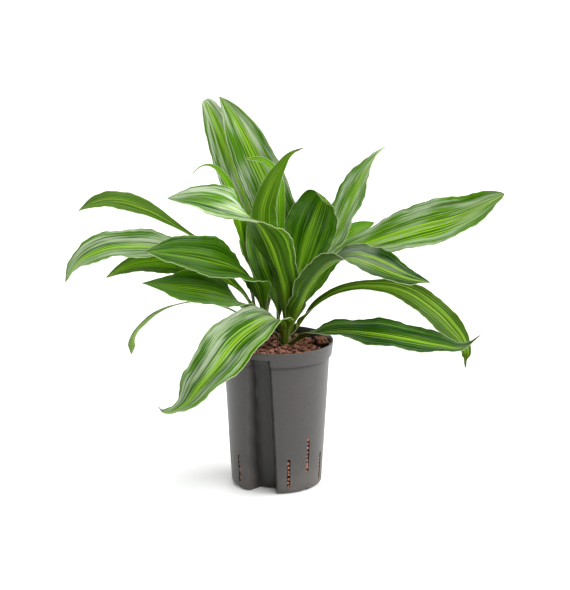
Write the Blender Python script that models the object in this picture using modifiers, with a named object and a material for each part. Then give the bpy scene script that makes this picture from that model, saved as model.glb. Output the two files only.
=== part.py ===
"""Potted dracaena: two leafy shoots in a fluted culture pot of clay granules.

The front of the plant faces -Y and the origin is the centre of the pot's underside.
Every blade and stem is an object of its own. A blade is a flat grid cut to the
leaf's outline, folded along its midrib, bent along a guide curve and given thickness.
Sizes below are millimetres and degrees, and MM turns them into Blender's metres.
"""

import math
from dataclasses import dataclass

import bmesh
import bpy
import numpy as np
from mathutils import Vector

MM = 0.001
OBJECT_NAME = "potted_dracaena"
CLEARANCE = 0.3

# Culture pot
POT_HEIGHT = 195.0
RIM_RADIUS = 75.0
COLLAR_FOOT_RADIUS = 73.0
COLLAR_FOOT_Z = 176.0
BODY_TOP_RADIUS = 69.8
BASE_RADIUS = 60.0
BASE_ROUNDING = 6.0
WALL = 2.0
FLOOR = 5.0
FLOOR_CHAMFER = 4.0
LIP = 0.8
LEDGE = 0.5
COLLAR_INSIDE_RADIUS = COLLAR_FOOT_RADIUS - WALL - 0.4
COLLAR_FLARE = 0.6
WALL_STATIONS = (60.0, 120.0)
POT_STEPS = 96
SMOOTH_ANGLE = 35.0

# Three flutes pressed into the wall below the rim band
FLUTE_BEARINGS = (251.25, 131.25, 11.25)
FLUTE_ROOF_Z = 186.0
FLUTE_ROOF_SLOPE = 0.6
FLUTE_DEPTH_TOP = 12.0
FLUTE_DEPTH_BASE = 23.0
FLUTE_HALF_TOP = 13.1
FLUTE_HALF_BASE = 20.6
FLUTE_SIDE = 4.5
FLUTE_SPARE = 1.2
FLUTE_ROOF_WALL = 1.8
FLUTE_CALM_RADIUS = 25.0

# Watering slots, three to each lobe between the flutes
LOBE_BEARINGS = (311.0, 191.0, 71.0)
SLOT_WIDTH = 3.4
SLOT_OFFSET = 26.0
SLOT_RADIUS = 56.0
SLOT_LENGTH = 34.0
MID_SLOT_SPAN = (26.0, 74.0)
SIDE_SLOT_SPAN = (9.0, 48.0)
NOTCH_WIDTH = 12.0
NOTCH_HEIGHT = 3.2
NOTCH_RADIUS = 58.0
NOTCH_LENGTH = 20.0
CUT_PAST = 2.0

# Clay granules
FILL_Z = 180.5
GRANULE_RADIUS = 4.2
GRANULE_PITCH = 7.6
GRANULE_GRID = 4.3
GRANULE_SHIFT = 1.6
GRANULE_SIZES = (0.8, 1.15)
GRANULE_SUNK = 0.5
GRANULE_HOLLOW = 0.75
GRANULE_SEED = 7
FILL_GAP = 0.45
FILL_HEADROOM = 8.0

# Stems
STEM_SIDES = 16
STEM_HOLE_TOP = FILL_Z + 20.0
STEM_SMOOTH_ANGLE = 40.0

# Blades
BLADE_THICKNESS = 0.8
BLADE_ROWS = 16
BLADE_COLUMNS = 4
STALK_HALF_WIDTH = 4.4
TIP_HALF_WIDTH = 0.8
SEAT_CLEARANCE = 0.5
BASE_FOLD = 36.0
INNER_FOLD = 0.6
OUTER_FOLD = 1.2
STEEPEST_TURN = 70.0
KNEE_SHARE = 0.5
BASE_RUN = 16.0
OPENED_SHARE = 0.4
TIP_FLATTENING = 0.4
STALK_SHARE = 0.25
WAVE_LENGTH = 64.0
WAVE_LAG = 0.8
CALM_HALF_WIDTH = 8.0
WAVY_HALF_WIDTH = 18.0


@dataclass(frozen=True)
class Shoot:
    """A short upright stem: the axis runs from foot to head."""

    name: str
    foot: tuple
    head: tuple
    foot_radius: float
    head_radius: float

    def at(self, height):
        """Axis point and radius at a height above the fill level."""
        share = (FILL_Z + height - self.foot[2]) / (self.head[2] - self.foot[2])
        point = Vector(self.foot).lerp(Vector(self.head), share)
        radius = self.foot_radius + (self.head_radius - self.foot_radius) * share
        return point, radius

    def direction(self):
        return (Vector(self.head) - Vector(self.foot)).normalized()


@dataclass(frozen=True)
class Blade:
    """One leaf.

    bearing and height say where it leaves its stem, lean is its angle off the stem
    there. way holds the points it then passes, as x, y, z and roll, which turns the
    blade about its midrib with the left edge up.
    """

    name: str
    shoot: str
    bearing: float
    height: float
    lean: float
    width: float
    finish: str
    way: tuple
    roll: float = 0.0
    cup: float = 16.0
    wave: float = 2.0
    phase: float = 0.0
    twist: str = "Z_UP"
    stalk: float = STALK_HALF_WIDTH
    start: float = 0.08
    rise: float = 1.15
    fall: float = 0.8


FRONT_SHOOT = Shoot("stem_front", (5.0, 16.0, 94.0), (17.7, 20.2, 252.0), 7.5, 4.6)
REAR_SHOOT = Shoot("stem_rear", (-24.0, 34.0, 119.0), (-15.5, 41.5, 238.0), 6.8, 4.4)
SHOOTS = {"front": FRONT_SHOOT, "rear": REAR_SHOOT}

FINISHES = {
    "green": ((0.045, 0.16, 0.012), 0.42),
    "lime": ((0.13, 0.30, 0.03), 0.42),
    "yellow": ((0.33, 0.36, 0.05), 0.48),
    "dark": ((0.03, 0.10, 0.012), 0.45),
}

BLADES = (
    # Front shoot, from the lowest leaf up
    Blade("leaf_front_low", "front", 248, 6, 18, 67, "green",
          ((9, -7, 216, 0), (3, -20, 226, -5), (-11, -34, 230, -15), (-29, -52, 226, -25),
           (-53, -75, 213, -30), (-75, -95, 190, -30), (-97, -108, 164, -20),
           (-120, -117, 138, -5), (-142, -122, 132, 0), (-149, -124, 141, 0)), wave=2.5,
          stalk=6.0, start=0.0, rise=1.0),
    Blade("leaf_right_low", "front", 331, 3, 56, 41, "green",
          ((49, -8, 204, 0), (85, -14, 210, 25), (125, -24, 210, 40), (169, -32, 205, 42),
           (213, -38, 198, 35), (243, -42, 196, 10), (264, -46, 213, 0)), wave=3.0, stalk=6.7,
          start=0.0, rise=0.9),
    Blade("leaf_right_droop", "front", 15, 14, 35, 39, "yellow",
          ((39, 15, 223, 0), (64, 18, 247, 25), (94, 20, 260, 40), (130, 22, 262, 45),
           (166, 22, 255, 50), (200, 22, 234, 50), (230, 20, 206, 45), (250, 16, 178, 35),
           (251, 14, 152, 10)), stalk=7.0, start=0.28, rise=1.9, fall=1.2),
    Blade("leaf_right_fold", "front", 315, 20, 18, 70, "green",
          ((31, -1, 238, 0), (44, -9, 267, 0), (64, -19, 294, 0), (86, -36, 310, 0),
           (112, -56, 310, 10), (140, -71, 302, 25), (166, -80, 295, 25), (194, -86, 292, 10)),
          cup=34.0, stalk=5.5, start=0.0, rise=0.87),
    Blade("leaf_right_long", "front", 2, 40, 26, 65, "lime",
          ((50, 31, 276, 10), (84, 32, 302, 30), (128, 20, 322, 45), (186, 6, 344, 50),
           (237, 0, 360, 45), (294, -8, 391, 30)), phase=1.0, start=0.2, fall=0.68),
    Blade("leaf_front_fold", "front", 252, 36, 16, 68, "green",
          ((10, -4, 266, 0), (1, -16, 300, 0), (-11, -34, 336, 0), (-27, -52, 364, -8),
           (-52, -69, 383, -30), (-89, -80, 397, -42), (-136, -84, 400, -20)), stalk=6.0,
          start=0.0, rise=1.0),
    Blade("leaf_right_rear", "front", 39, 26, 30, 44, "lime",
          ((48, 42, 254, 0), (68, 60, 286, 10), (96, 78, 319, 25), (131, 92, 333, 25)), stalk=5.0,
          start=0.0),
    Blade("leaf_centre", "front", 70, 60, 10, 72, "lime",
          ((28, 34, 270, 10), (36, 37, 298, 20), (45, 39, 330, 22), (54, 37, 358, 22),
           (60, 29, 376, 22), (64, 16, 381, 22), (63, 6, 377, 22)), cup=22.0, phase=2.0,
          twist="MINIMUM", rise=1.0),
    Blade("leaf_right_upright", "front", 55, 44, 22, 51, "green",
          ((38, 46, 266, 10), (58, 60, 292, 25), (79, 66, 322, 30), (95, 69, 360, 30),
           (112, 72, 396, 25), (129, 72, 425, 15), (143, 68, 440, 0)), start=0.2),
    Blade("leaf_top_tall", "front", 115, 40, 16, 64, "green",
          ((13, 48, 284, -10), (5, 56, 338, -20), (-9, 62, 382, -25), (-26, 70, 419, -25),
           (-44, 80, 454, -20), (-63, 92, 486, -10), (-76, 104, 501, 0)), cup=22.0,
          twist="MINIMUM", rise=1.15, fall=1.0),
    Blade("leaf_front_upright", "front", 232, 62, 13, 36, "lime",
          ((1, 8, 294, 0), (-13, 5, 330, 0), (-18, 4, 362, 0), (-9, 4, 396, 0), (6, 5, 426, 0),
           (18, 7, 441, 0), (34, 9, 448, 0)), phase=1.5, twist="MINIMUM", rise=1.1, fall=1.5),
    Blade("leaf_top_slender", "front", 168, 56, 12, 20, "lime",
          ((5, 24, 294, 0), (4, 26, 334, 0), (4, 28, 372, 0), (0, 29, 408, 0),
           (-16, 30, 427, 0), (-40, 28, 431, 0)), twist="MINIMUM"),
    Blade("leaf_back_mid", "front", 100, 30, 26, 50, "green",
          ((14, 66, 280, 0), (8, 102, 306, 0), (4, 142, 314, 0), (1, 178, 302, 0),
           (0, 205, 274, 0))),
    Blade("leaf_back_right", "front", 75, 18, 36, 48, "green",
          ((34, 66, 258, 0), (50, 98, 288, 0), (61, 134, 298, 0), (70, 170, 290, 0),
           (74, 197, 266, 0)), phase=2.5),
    Blade("leaf_short", "front", 182, 2, 26, 20, "dark",
          ((-12, 10, 203, 0), (-19, 4, 204, 0), (-26, -4, 200, 0)), wave=0.0, stalk=3.6),
    Blade("leaf_side_slender", "front", 182, 22, 24, 34, "dark",
          ((0, 24, 233, -30), (-7, 30, 260, -65), (-18, 24, 294, -85), (-25, 26, 326, -90),
           (-25, 34, 352, -90), (-20, 39, 370, -90)), phase=2.0, twist="MINIMUM", start=0.0),
    # Rear shoot, from the lowest leaf up
    Blade("leaf_left_low", "rear", 245, 12, 34, 62, "green",
          ((-36, 12, 226, 0), (-50, -4, 247, -15), (-73, -23, 262, -30), (-101, -38, 272, -40),
           (-137, -46, 278, -35), (-172, -50, 283, -15)), rise=0.95, fall=1.0),
    Blade("leaf_left_thin", "rear", 190, 8, 42, 20, "yellow",
          ((-50, 38, 218, 0), (-73, 34, 231, 0), (-102, 30, 238, 0), (-128, 28, 236, 0),
           (-155, 24, 226, 0), (-175, 20, 211, 0), (-190, 16, 192, 0), (-193, 12, 171, 0)),
          stalk=3.0, start=0.55, rise=1.3, fall=1.0),
    Blade("leaf_left_fold", "rear", 262, 30, 16, 68, "green",
          ((-24, 17, 250, 0), (-32, 2, 274, -10), (-50, -16, 294, -30), (-81, -34, 310, -42),
           (-123, -48, 321, -40), (-166, -56, 326, -20)), phase=1.0, rise=0.95),
    Blade("leaf_left_under", "rear", 212, 22, 28, 35, "yellow",
          ((-36, 30, 236, 0), (-56, 27, 260, -15), (-85, 26, 278, -30), (-127, 25, 291, -45),
           (-167, 22, 293, -45), (-199, 18, 287, -35), (-224, 14, 275, -15)), stalk=7.5, start=0.1),
    Blade("leaf_left_long", "rear", 180, 34, 28, 61, "green",
          ((-38, 42, 257, 0), (-62, 38, 280, -10), (-98, 28, 299, -20), (-146, 14, 314, -25),
           (-197, 2, 320, -25), (-235, -8, 314, -20), (-261, -16, 298, -10), (-274, -20, 277, 0)),
          phase=2.0, start=0.14, rise=1.3, fall=0.68),
    Blade("leaf_left_high", "rear", 142, 46, 26, 30, "green",
          ((-38, 58, 266, 0), (-67, 66, 292, -20), (-106, 70, 315, -35), (-146, 72, 340, -45),
           (-176, 72, 356, -45), (-215, 70, 367, -40), (-242, 68, 364, -25), (-264, 64, 354, 0)),
          stalk=3.0, start=0.42, rise=1.6, fall=0.7),
    Blade("leaf_left_upright", "rear", 225, 50, 12, 27, "lime",
          ((-28, 34, 266, -10), (-41, 32, 305, -30), (-50, 31, 348, -40), (-60, 30, 386, -40),
           (-71, 28, 409, -30), (-84, 26, 421, -20), (-97, 22, 422, 0), (-110, 18, 412, 0)),
          phase=3.0, rise=0.9, fall=1.25),
    Blade("leaf_top_left", "rear", 90, 54, 14, 50, "green",
          ((-20, 64, 294, 0), (-37, 78, 353, 0), (-54, 92, 400, 0), (-71, 106, 444, 0),
           (-85, 122, 474, 0), (-95, 140, 488, 0), (-100, 156, 488, 0)), phase=1.0,
          twist="MINIMUM", fall=0.95),
    Blade("leaf_back_left", "rear", 80, 24, 28, 46, "green",
          ((-18, 84, 262, 0), (-26, 118, 284, 0), (-34, 154, 292, 0), (-40, 188, 278, 0))),
)


def clear_scene():
    """Remove whatever the opened file holds."""
    for thing in list(bpy.data.objects):
        bpy.data.objects.remove(thing, do_unlink=True)


def make_collection(name):
    collection = bpy.data.collections.new(name)
    bpy.context.scene.collection.children.link(collection)
    return collection


def make_material(name, colour, roughness, metallic=0.0):
    """Principled material of one plain colour."""
    material = bpy.data.materials.new(name)
    material.use_nodes = True
    shader = material.node_tree.nodes["Principled BSDF"]
    shader.inputs["Base Color"].default_value = (*colour, 1.0)
    shader.inputs["Roughness"].default_value = roughness
    shader.inputs["Metallic"].default_value = metallic
    return material


def move_to(collection, thing):
    """Unlink an object from every collection it is in and link it to this one."""
    for holder in list(thing.users_collection):
        holder.objects.unlink(thing)
    collection.objects.link(thing)


def make_cutter(thing, cutters):
    thing.display_type = "WIRE"
    thing.hide_render = True
    move_to(cutters, thing)
    return thing


def smooth_step(value):
    """Rise from 0 to 1 with level ends as value goes from 0 to 1."""
    value = np.clip(value, 0.0, 1.0)
    return value * value * (3.0 - 2.0 * value)


def turned_mesh(name, profile, steps):
    """Mesh of a profile, (radius, z) in millimetres, turned once round Z."""
    builder = bmesh.new()
    points = [builder.verts.new((radius * MM, 0.0, z * MM)) for radius, z in profile]
    for start, end in zip(points, points[1:]):
        builder.edges.new((start, end))
    outline = bpy.data.meshes.new(name + "_profile")
    builder.to_mesh(outline)
    builder.free()
    blank = bpy.data.objects.new(name + "_profile", outline)
    bpy.context.scene.collection.objects.link(blank)
    turn = blank.modifiers.new("turn", "SCREW")
    turn.steps = turn.render_steps = steps
    turn.use_merge_vertices = True
    turn.merge_threshold = 0.00001
    bpy.context.view_layer.update()
    evaluated = blank.evaluated_get(bpy.context.evaluated_depsgraph_get())
    mesh = bpy.data.meshes.new_from_object(evaluated)
    mesh.name = name
    bpy.data.objects.remove(blank, do_unlink=True)
    return mesh


def flute_depth(bearing, z, roof, widen):
    """How far the wall is pressed in at a bearing and height, in millimetres.

    A flute is a flat-floored channel with steep sides. widen adds to its half angle.
    """
    drop = np.clip((FLUTE_ROOF_Z - z) / FLUTE_ROOF_Z, 0.0, 1.0)
    depth = FLUTE_DEPTH_TOP + (FLUTE_DEPTH_BASE - FLUTE_DEPTH_TOP) * drop
    half = FLUTE_HALF_TOP + (FLUTE_HALF_BASE - FLUTE_HALF_TOP) * drop + widen
    shape = np.zeros_like(z)
    for centre in FLUTE_BEARINGS:
        away = np.abs((bearing - centre + 180.0) % 360.0 - 180.0)
        shape = np.maximum(shape, smooth_step((half - away) / FLUTE_SIDE))
    below_roof = np.clip((roof - z) / FLUTE_ROOF_SLOPE, 0.0, 1.0)
    return depth * shape * below_roof


def press_flutes(mesh, roof, lift_inside=0.0, inside_margin=1.0, widen=0.0):
    """Press the flutes into a turned mesh, with a higher roof on its inner skin."""
    count = len(mesh.vertices)
    points = np.empty(count * 3)
    mesh.vertices.foreach_get("co", points)
    points = points.reshape(count, 3) / MM
    radius = np.hypot(points[:, 0], points[:, 1])
    bearing = np.degrees(np.arctan2(points[:, 1], points[:, 0]))
    z = points[:, 2]
    inside = radius < outer_radius(z) - inside_margin
    roofs = np.where(inside, roof + lift_inside, roof)
    press = (flute_depth(bearing, z, roofs, widen)
             * smooth_step((radius - FLUTE_CALM_RADIUS) / FLUTE_CALM_RADIUS))
    scale = np.where(radius > 0.01, (radius - press) / np.maximum(radius, 0.01), 1.0)
    points[:, 0] *= scale
    points[:, 1] *= scale
    mesh.vertices.foreach_set("co", (points * MM).ravel())
    builder = bmesh.new()
    builder.from_mesh(mesh)
    bmesh.ops.triangulate(builder, faces=builder.faces[:], quad_method="SHORT_EDGE")
    builder.to_mesh(mesh)
    builder.free()


def outer_radius(z):
    """Outside radius of the unpressed pot at each height."""
    return np.interp(z, (0.0, COLLAR_FOOT_Z - LEDGE, COLLAR_FOOT_Z, POT_HEIGHT),
                     (BASE_RADIUS - BASE_ROUNDING, BODY_TOP_RADIUS, COLLAR_FOOT_RADIUS,
                      RIM_RADIUS))


def wall_radius(z):
    """Outside radius of the tapering body wall alone."""
    share = z / COLLAR_FOOT_Z
    return BASE_RADIUS + (BODY_TOP_RADIUS - BASE_RADIUS) * share


def inner_profile(gap=0.0, top=POT_HEIGHT):
    """Points up the inner skin, from its floor corner to the rim or the fill."""
    corner = FLOOR + FLOOR_CHAMFER
    points = [(wall_radius(FLOOR) - WALL - FLOOR_CHAMFER - gap, FLOOR + gap),
              (wall_radius(corner) - WALL - gap, corner + gap)]
    for z in (*WALL_STATIONS, COLLAR_FOOT_Z - WALL):
        points.append((wall_radius(z) - WALL - gap, z))
    points.append((COLLAR_INSIDE_RADIUS - gap, COLLAR_FOOT_Z + 2.0 * LIP))
    points.append((COLLAR_INSIDE_RADIUS + COLLAR_FLARE - gap, top))
    return points


def make_pot(parts, cutters):
    """Culture pot: turned shell, three flutes, nine slots and three base notches."""
    roof_inside = FLUTE_ROOF_Z + FLUTE_ROOF_WALL
    inner = inner_profile(top=FLUTE_ROOF_Z)
    inner[-1:] = [(inner[-1][0] - 0.1, roof_inside - FLUTE_ROOF_SLOPE),
                  (inner[-1][0], roof_inside),
                  (RIM_RADIUS - WALL + 0.3, POT_HEIGHT - LIP)]
    outer = [(RIM_RADIUS - WALL + 0.9, POT_HEIGHT), (RIM_RADIUS - COLLAR_FLARE, POT_HEIGHT),
             (RIM_RADIUS, POT_HEIGHT - LIP), (RIM_RADIUS - LIP, FLUTE_ROOF_Z),
             (RIM_RADIUS - 0.9, FLUTE_ROOF_Z - FLUTE_ROOF_SLOPE),
             (COLLAR_FOOT_RADIUS, COLLAR_FOOT_Z + COLLAR_FLARE),
             (COLLAR_FOOT_RADIUS - 0.7, COLLAR_FOOT_Z),
             (BODY_TOP_RADIUS, COLLAR_FOOT_Z - LEDGE)]
    for z in (*reversed(WALL_STATIONS), BASE_ROUNDING):
        outer.append((wall_radius(z), z))
    outer += [(BASE_RADIUS - 1.6, 1.9), (BASE_RADIUS - BASE_ROUNDING, 0.0)]
    profile = [(0.0, FLOOR)] + inner + outer + [(0.0, 0.0)]
    mesh = turned_mesh("pot", profile, POT_STEPS)
    press_flutes(mesh, FLUTE_ROOF_Z, lift_inside=FLUTE_ROOF_WALL)
    pot = bpy.data.objects.new("pot", mesh)
    parts.objects.link(pot)
    mesh.materials.append(make_material("pot_plastic", (0.085, 0.085, 0.083), 0.5))
    for lobe in LOBE_BEARINGS:
        for offset, (low, high) in ((0.0, MID_SLOT_SPAN), (-SLOT_OFFSET, SIDE_SLOT_SPAN),
                                    (SLOT_OFFSET, SIDE_SLOT_SPAN)):
            slot = radial_box("slot", lobe + offset, SLOT_RADIUS, SLOT_LENGTH, SLOT_WIDTH,
                              low, high)
            cut(pot, make_cutter(slot, cutters))
        notch = radial_box("notch", lobe, NOTCH_RADIUS, NOTCH_LENGTH, NOTCH_WIDTH,
                           -CUT_PAST, NOTCH_HEIGHT)
        cut(pot, make_cutter(notch, cutters))
    mesh.shade_smooth()
    mesh.set_sharp_from_angle(angle=math.radians(SMOOTH_ANGLE))
    return pot


def radial_box(name, bearing, radius, length, width, low, high):
    """Box that points along a bearing, its middle at a radius from the axis."""
    angle = math.radians(bearing)
    centre = Vector((radius * math.cos(angle), radius * math.sin(angle), (low + high) / 2.0))
    bpy.ops.mesh.primitive_cube_add(size=1.0, location=centre * MM)
    box = bpy.context.object
    box.name = name
    box.scale = Vector((length, width, high - low)) * MM
    box.rotation_euler.z = angle
    return box


def cut(target, cutter, operation="DIFFERENCE"):
    boolean = target.modifiers.new("cut", "BOOLEAN")
    boolean.operation = operation
    boolean.object = cutter
    boolean.solver = "EXACT"
    return boolean


def granule_relief(x, y):
    """Height of the bed of granules over a point, as the tops of packed domes."""
    chance = np.random.default_rng(GRANULE_SEED)
    heights = np.full(x.shape, -GRANULE_RADIUS * GRANULE_HOLLOW)
    row_pitch = GRANULE_PITCH * math.sqrt(3.0) / 2.0
    reach = int(RIM_RADIUS / row_pitch) + 2
    for row in range(-reach, reach + 1):
        for column in range(-reach, reach + 1):
            shift = chance.uniform(-GRANULE_SHIFT, GRANULE_SHIFT, 3)
            centre_x = (column + 0.5 * (row % 2)) * GRANULE_PITCH + shift[0]
            centre_y = row * row_pitch + shift[1]
            size = GRANULE_RADIUS * chance.uniform(*GRANULE_SIZES)
            away = (x - centre_x) ** 2 + (y - centre_y) ** 2
            dome = np.sqrt(np.maximum(size * size - away, 0.0)) - size * GRANULE_SUNK + shift[2]
            heights = np.where(away < size * size, np.maximum(heights, dome), heights)
    return heights


def make_granules(parts, cutters):
    """Bed of granules: a block with a relief of domes, kept to the pot's inside."""
    barrel_top = FILL_Z + FILL_HEADROOM
    barrel_profile = [(0.0, FLOOR + FILL_GAP), *inner_profile(FILL_GAP, barrel_top),
                      (0.0, barrel_top)]
    barrel_profile.reverse()
    barrel_mesh = turned_mesh("granule_barrel", barrel_profile, POT_STEPS)
    press_flutes(barrel_mesh, 2.0 * POT_HEIGHT, widen=FLUTE_SPARE)
    barrel = bpy.data.objects.new("granule_barrel", barrel_mesh)
    bpy.context.scene.collection.objects.link(barrel)
    make_cutter(barrel, cutters)

    cells = int(2.0 * RIM_RADIUS / GRANULE_GRID)
    bpy.ops.mesh.primitive_grid_add(x_subdivisions=cells, y_subdivisions=cells,
                                    size=2.0 * RIM_RADIUS * MM)
    bed = bpy.context.object
    bed.name = "granules"
    move_to(parts, bed)
    mesh = bed.data
    builder = bmesh.new()
    builder.from_mesh(mesh)
    bmesh.ops.triangulate(builder, faces=builder.faces[:])
    top = builder.verts[:]
    points = np.array([vertex.co for vertex in top]) / MM
    heights = FILL_Z + granule_relief(points[:, 0], points[:, 1])
    walls = bmesh.ops.extrude_face_region(builder, geom=builder.faces[:])
    for vertex, height in zip(top, heights):
        vertex.co.z = height * MM
    for thing in walls["geom"]:
        if isinstance(thing, bmesh.types.BMVert):
            thing.co.z = (FLOOR - CUT_PAST) * MM
    bmesh.ops.recalc_face_normals(builder, faces=builder.faces[:])
    builder.to_mesh(mesh)
    builder.free()
    mesh.materials.append(make_material("clay_granules", (0.30, 0.105, 0.06), 0.85))
    cut(bed, barrel, "INTERSECT")
    for shoot in SHOOTS.values():
        hole = stem_cylinder(shoot, shoot.name + "_hole", CLEARANCE, STEM_HOLE_TOP)
        cut(bed, make_cutter(hole, cutters))
    return bed


def stem_cylinder(shoot, name, grow, top):
    """Round bar along a shoot's axis, up to a height, fatter by grow all round."""
    axis = shoot.direction()
    low, _ = shoot.at(shoot.foot[2] - FILL_Z)
    high, radius = shoot.at(top - FILL_Z)
    low = low - axis * grow
    bpy.ops.mesh.primitive_cone_add(vertices=STEM_SIDES,
                                    radius1=(shoot.foot_radius + grow) * MM,
                                    radius2=(radius + grow) * MM,
                                    depth=(high - low).length * MM,
                                    location=(low + high) / 2.0 * MM)
    bar = bpy.context.object
    bar.name = name
    bar.rotation_mode = "QUATERNION"
    bar.rotation_quaternion = axis.to_track_quat("Z", "Y")
    return bar


def make_stem(parts, shoot):
    """Stem of one shoot, from its foot deep in the granules to its growing tip."""
    stem = stem_cylinder(shoot, shoot.name, 0.0, shoot.head[2])
    move_to(parts, stem)
    stem.data.materials.append(make_material(shoot.name + "_bark", (0.20, 0.22, 0.07), 0.6))
    stem.data.shade_smooth()
    stem.data.set_sharp_from_angle(angle=math.radians(STEM_SMOOTH_ANGLE))
    return stem


def folded(half, inner, outer, fold):
    """Sideways reach and lift of a point on a folded half blade.

    inner and outer are the shares of the half width on each side of its crease.
    """
    side = half * (inner * np.cos(INNER_FOLD * fold) + outer * np.cos(OUTER_FOLD * fold))
    lift = half * (inner * np.sin(INNER_FOLD * fold) + outer * np.sin(OUTER_FOLD * fold))
    return side, lift


def seat_gap(blade, radius):
    """Gap from the stem to the midrib that keeps the folded base just clear of it."""
    reach = radius + BLADE_THICKNESS / 2.0 + SEAT_CLEARANCE
    gap = reach - radius
    for outer in (0.0, 0.5):
        side, lift = folded(blade.stalk, 0.5, outer, math.radians(BASE_FOLD))
        toward_stem = lift * math.cos(math.radians(blade.lean))
        gap = max(gap, math.sqrt(max(reach ** 2 - side ** 2, 0.0)) - radius + toward_stem)
    return gap


def facing_turn(travel, bearing):
    """Roll in degrees that makes a steep blade face along a bearing."""
    heading = math.degrees(math.atan2(travel.y, travel.x))
    turn = (bearing - heading + 180.0) % 360.0 - 180.0
    return max(-STEEPEST_TURN, min(STEEPEST_TURN, turn))


def blade_guide(blade, guides):
    """Curve from the blade's seat on its stem through the points of its way."""
    shoot = SHOOTS[blade.shoot]
    axis_point, radius = shoot.at(blade.height)
    angle = math.radians(blade.bearing)
    outward = Vector((math.cos(angle), math.sin(angle), 0.0))
    lean = math.radians(blade.lean)
    seat = axis_point + outward * (radius + seat_gap(blade, radius))
    rise = shoot.direction() * math.cos(lean) + outward * math.sin(lean)
    knee = seat + rise * BASE_RUN
    seat_roll = blade.roll + facing_turn(rise, blade.bearing)
    if blade.twist == "Z_UP":
        knee_roll = blade.roll + facing_turn(Vector(blade.way[0][:3]) - seat, blade.bearing)
    else:
        knee_roll = seat_roll
    stations = [(*seat, seat_roll), (*knee, KNEE_SHARE * knee_roll), *blade.way]
    curve = bpy.data.curves.new(blade.name + "_guide", "CURVE")
    curve.dimensions = "3D"
    curve.twist_mode = blade.twist
    curve.resolution_u = 12
    spline = curve.splines.new("BEZIER")
    spline.bezier_points.add(len(stations) - 1)
    for knot, (x, y, z, roll) in zip(spline.bezier_points, stations):
        knot.co = Vector((x, y, z)) * MM
        knot.handle_left_type = knot.handle_right_type = "AUTO"
        knot.tilt = math.radians(roll)
    guide = bpy.data.objects.new(blade.name + "_guide", curve)
    guide.display_type = "WIRE"
    guide.hide_render = True
    guides.objects.link(guide)
    bpy.context.view_layer.update()
    return guide, spline.calc_length() / MM


def blade_half_width(share, blade):
    """Half width at a share of the length: a narrow stalk, then a lance-shaped blade."""
    swell = np.clip((share - blade.start) / (1.0 - blade.start), 0.0, 1.0)
    widest = blade.rise / (blade.rise + blade.fall)
    lance = ((swell / widest) ** blade.rise
             * ((1.0 - swell) / (1.0 - widest)) ** blade.fall)
    stalk = blade.stalk * (1.0 - smooth_step((share - STALK_SHARE) / (1.0 - STALK_SHARE)))
    return np.hypot(blade.width / 2.0 * lance, stalk) + TIP_HALF_WIDTH * smooth_step(share)


def fold_angle(share, blade):
    """Angle of each half off flat, in degrees: hugging the stem, then opening."""
    opening = smooth_step(share / OPENED_SHARE)
    return (BASE_FOLD * (1.0 - opening)
            + blade.cup * opening * (1.0 - TIP_FLATTENING * share))


def make_blade(parts, guides, blade, materials):
    """One leaf as a thin closed solid."""
    guide, length = blade_guide(blade, guides)
    bpy.ops.mesh.primitive_grid_add(x_subdivisions=BLADE_ROWS, y_subdivisions=BLADE_COLUMNS,
                                    size=2.0)
    leaf = bpy.context.object
    leaf.name = blade.name
    move_to(parts, leaf)
    mesh = leaf.data
    count = len(mesh.vertices)
    points = np.empty(count * 3)
    mesh.vertices.foreach_get("co", points)
    points = points.reshape(count, 3)
    share = (points[:, 0] + 1.0) / 2.0
    across = points[:, 1].copy()
    half = blade_half_width(share, blade)
    fold = np.radians(fold_angle(share, blade))
    inner = np.minimum(np.abs(across), 0.5)
    outer = np.maximum(np.abs(across) - 0.5, 0.0)
    side, lift = folded(half, inner, outer, fold)
    points[:, 0] = share * length
    points[:, 1] = np.sign(across) * side
    ripple = np.sin(2.0 * math.pi * share * length / WAVE_LENGTH + blade.phase
                    + np.sign(across) * WAVE_LAG)
    broad = smooth_step((half - CALM_HALF_WIDTH) / (WAVY_HALF_WIDTH - CALM_HALF_WIDTH))
    strength = blade.wave * across ** 2 * broad
    points[:, 2] = lift + ripple * strength
    mesh.vertices.foreach_set("co", (points * MM).ravel())
    mesh.update()
    mesh.materials.append(materials[blade.finish])
    mesh.shade_smooth()

    split = leaf.modifiers.new("split", "TRIANGULATE")
    split.quad_method = "FIXED"
    bend = leaf.modifiers.new("bend", "CURVE")
    bend.object = guide
    bend.deform_axis = "POS_X"
    thicken = leaf.modifiers.new("thicken", "SOLIDIFY")
    thicken.thickness = BLADE_THICKNESS * MM
    thicken.offset = 0.0
    thicken.use_even_offset = False
    return leaf


def main():
    clear_scene()
    parts = make_collection(OBJECT_NAME)
    cutters = make_collection("cutters")
    guides = make_collection("guides")
    make_pot(parts, cutters)
    make_granules(parts, cutters)
    for shoot in SHOOTS.values():
        make_stem(parts, shoot)
    materials = {name: make_material("leaf_" + name, colour, roughness)
                 for name, (colour, roughness) in FINISHES.items()}
    for blade in BLADES:
        make_blade(parts, guides, blade, materials)


if __name__ == "__main__":
    main()
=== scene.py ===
"""Dressed scene of a potted dracaena: two leafy shoots in a fluted culture pot.

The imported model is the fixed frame. Each of its nodes is replaced by a finer piece that
stands in the same place: broad striped leaves on the routes of the leaf nodes, ringed
stems, a moulded pot with open watering slots, and loose clay granules. Sizes are
millimetres and degrees, and MM turns them into Blender's metres.
"""

import logging
import math
from collections.abc import Callable, Iterator
from contextlib import contextmanager
from dataclasses import dataclass
from enum import Enum
from typing import TypeAlias

import bpy
import numpy as np
from mathutils import Euler, Matrix, Quaternion, Vector


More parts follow.
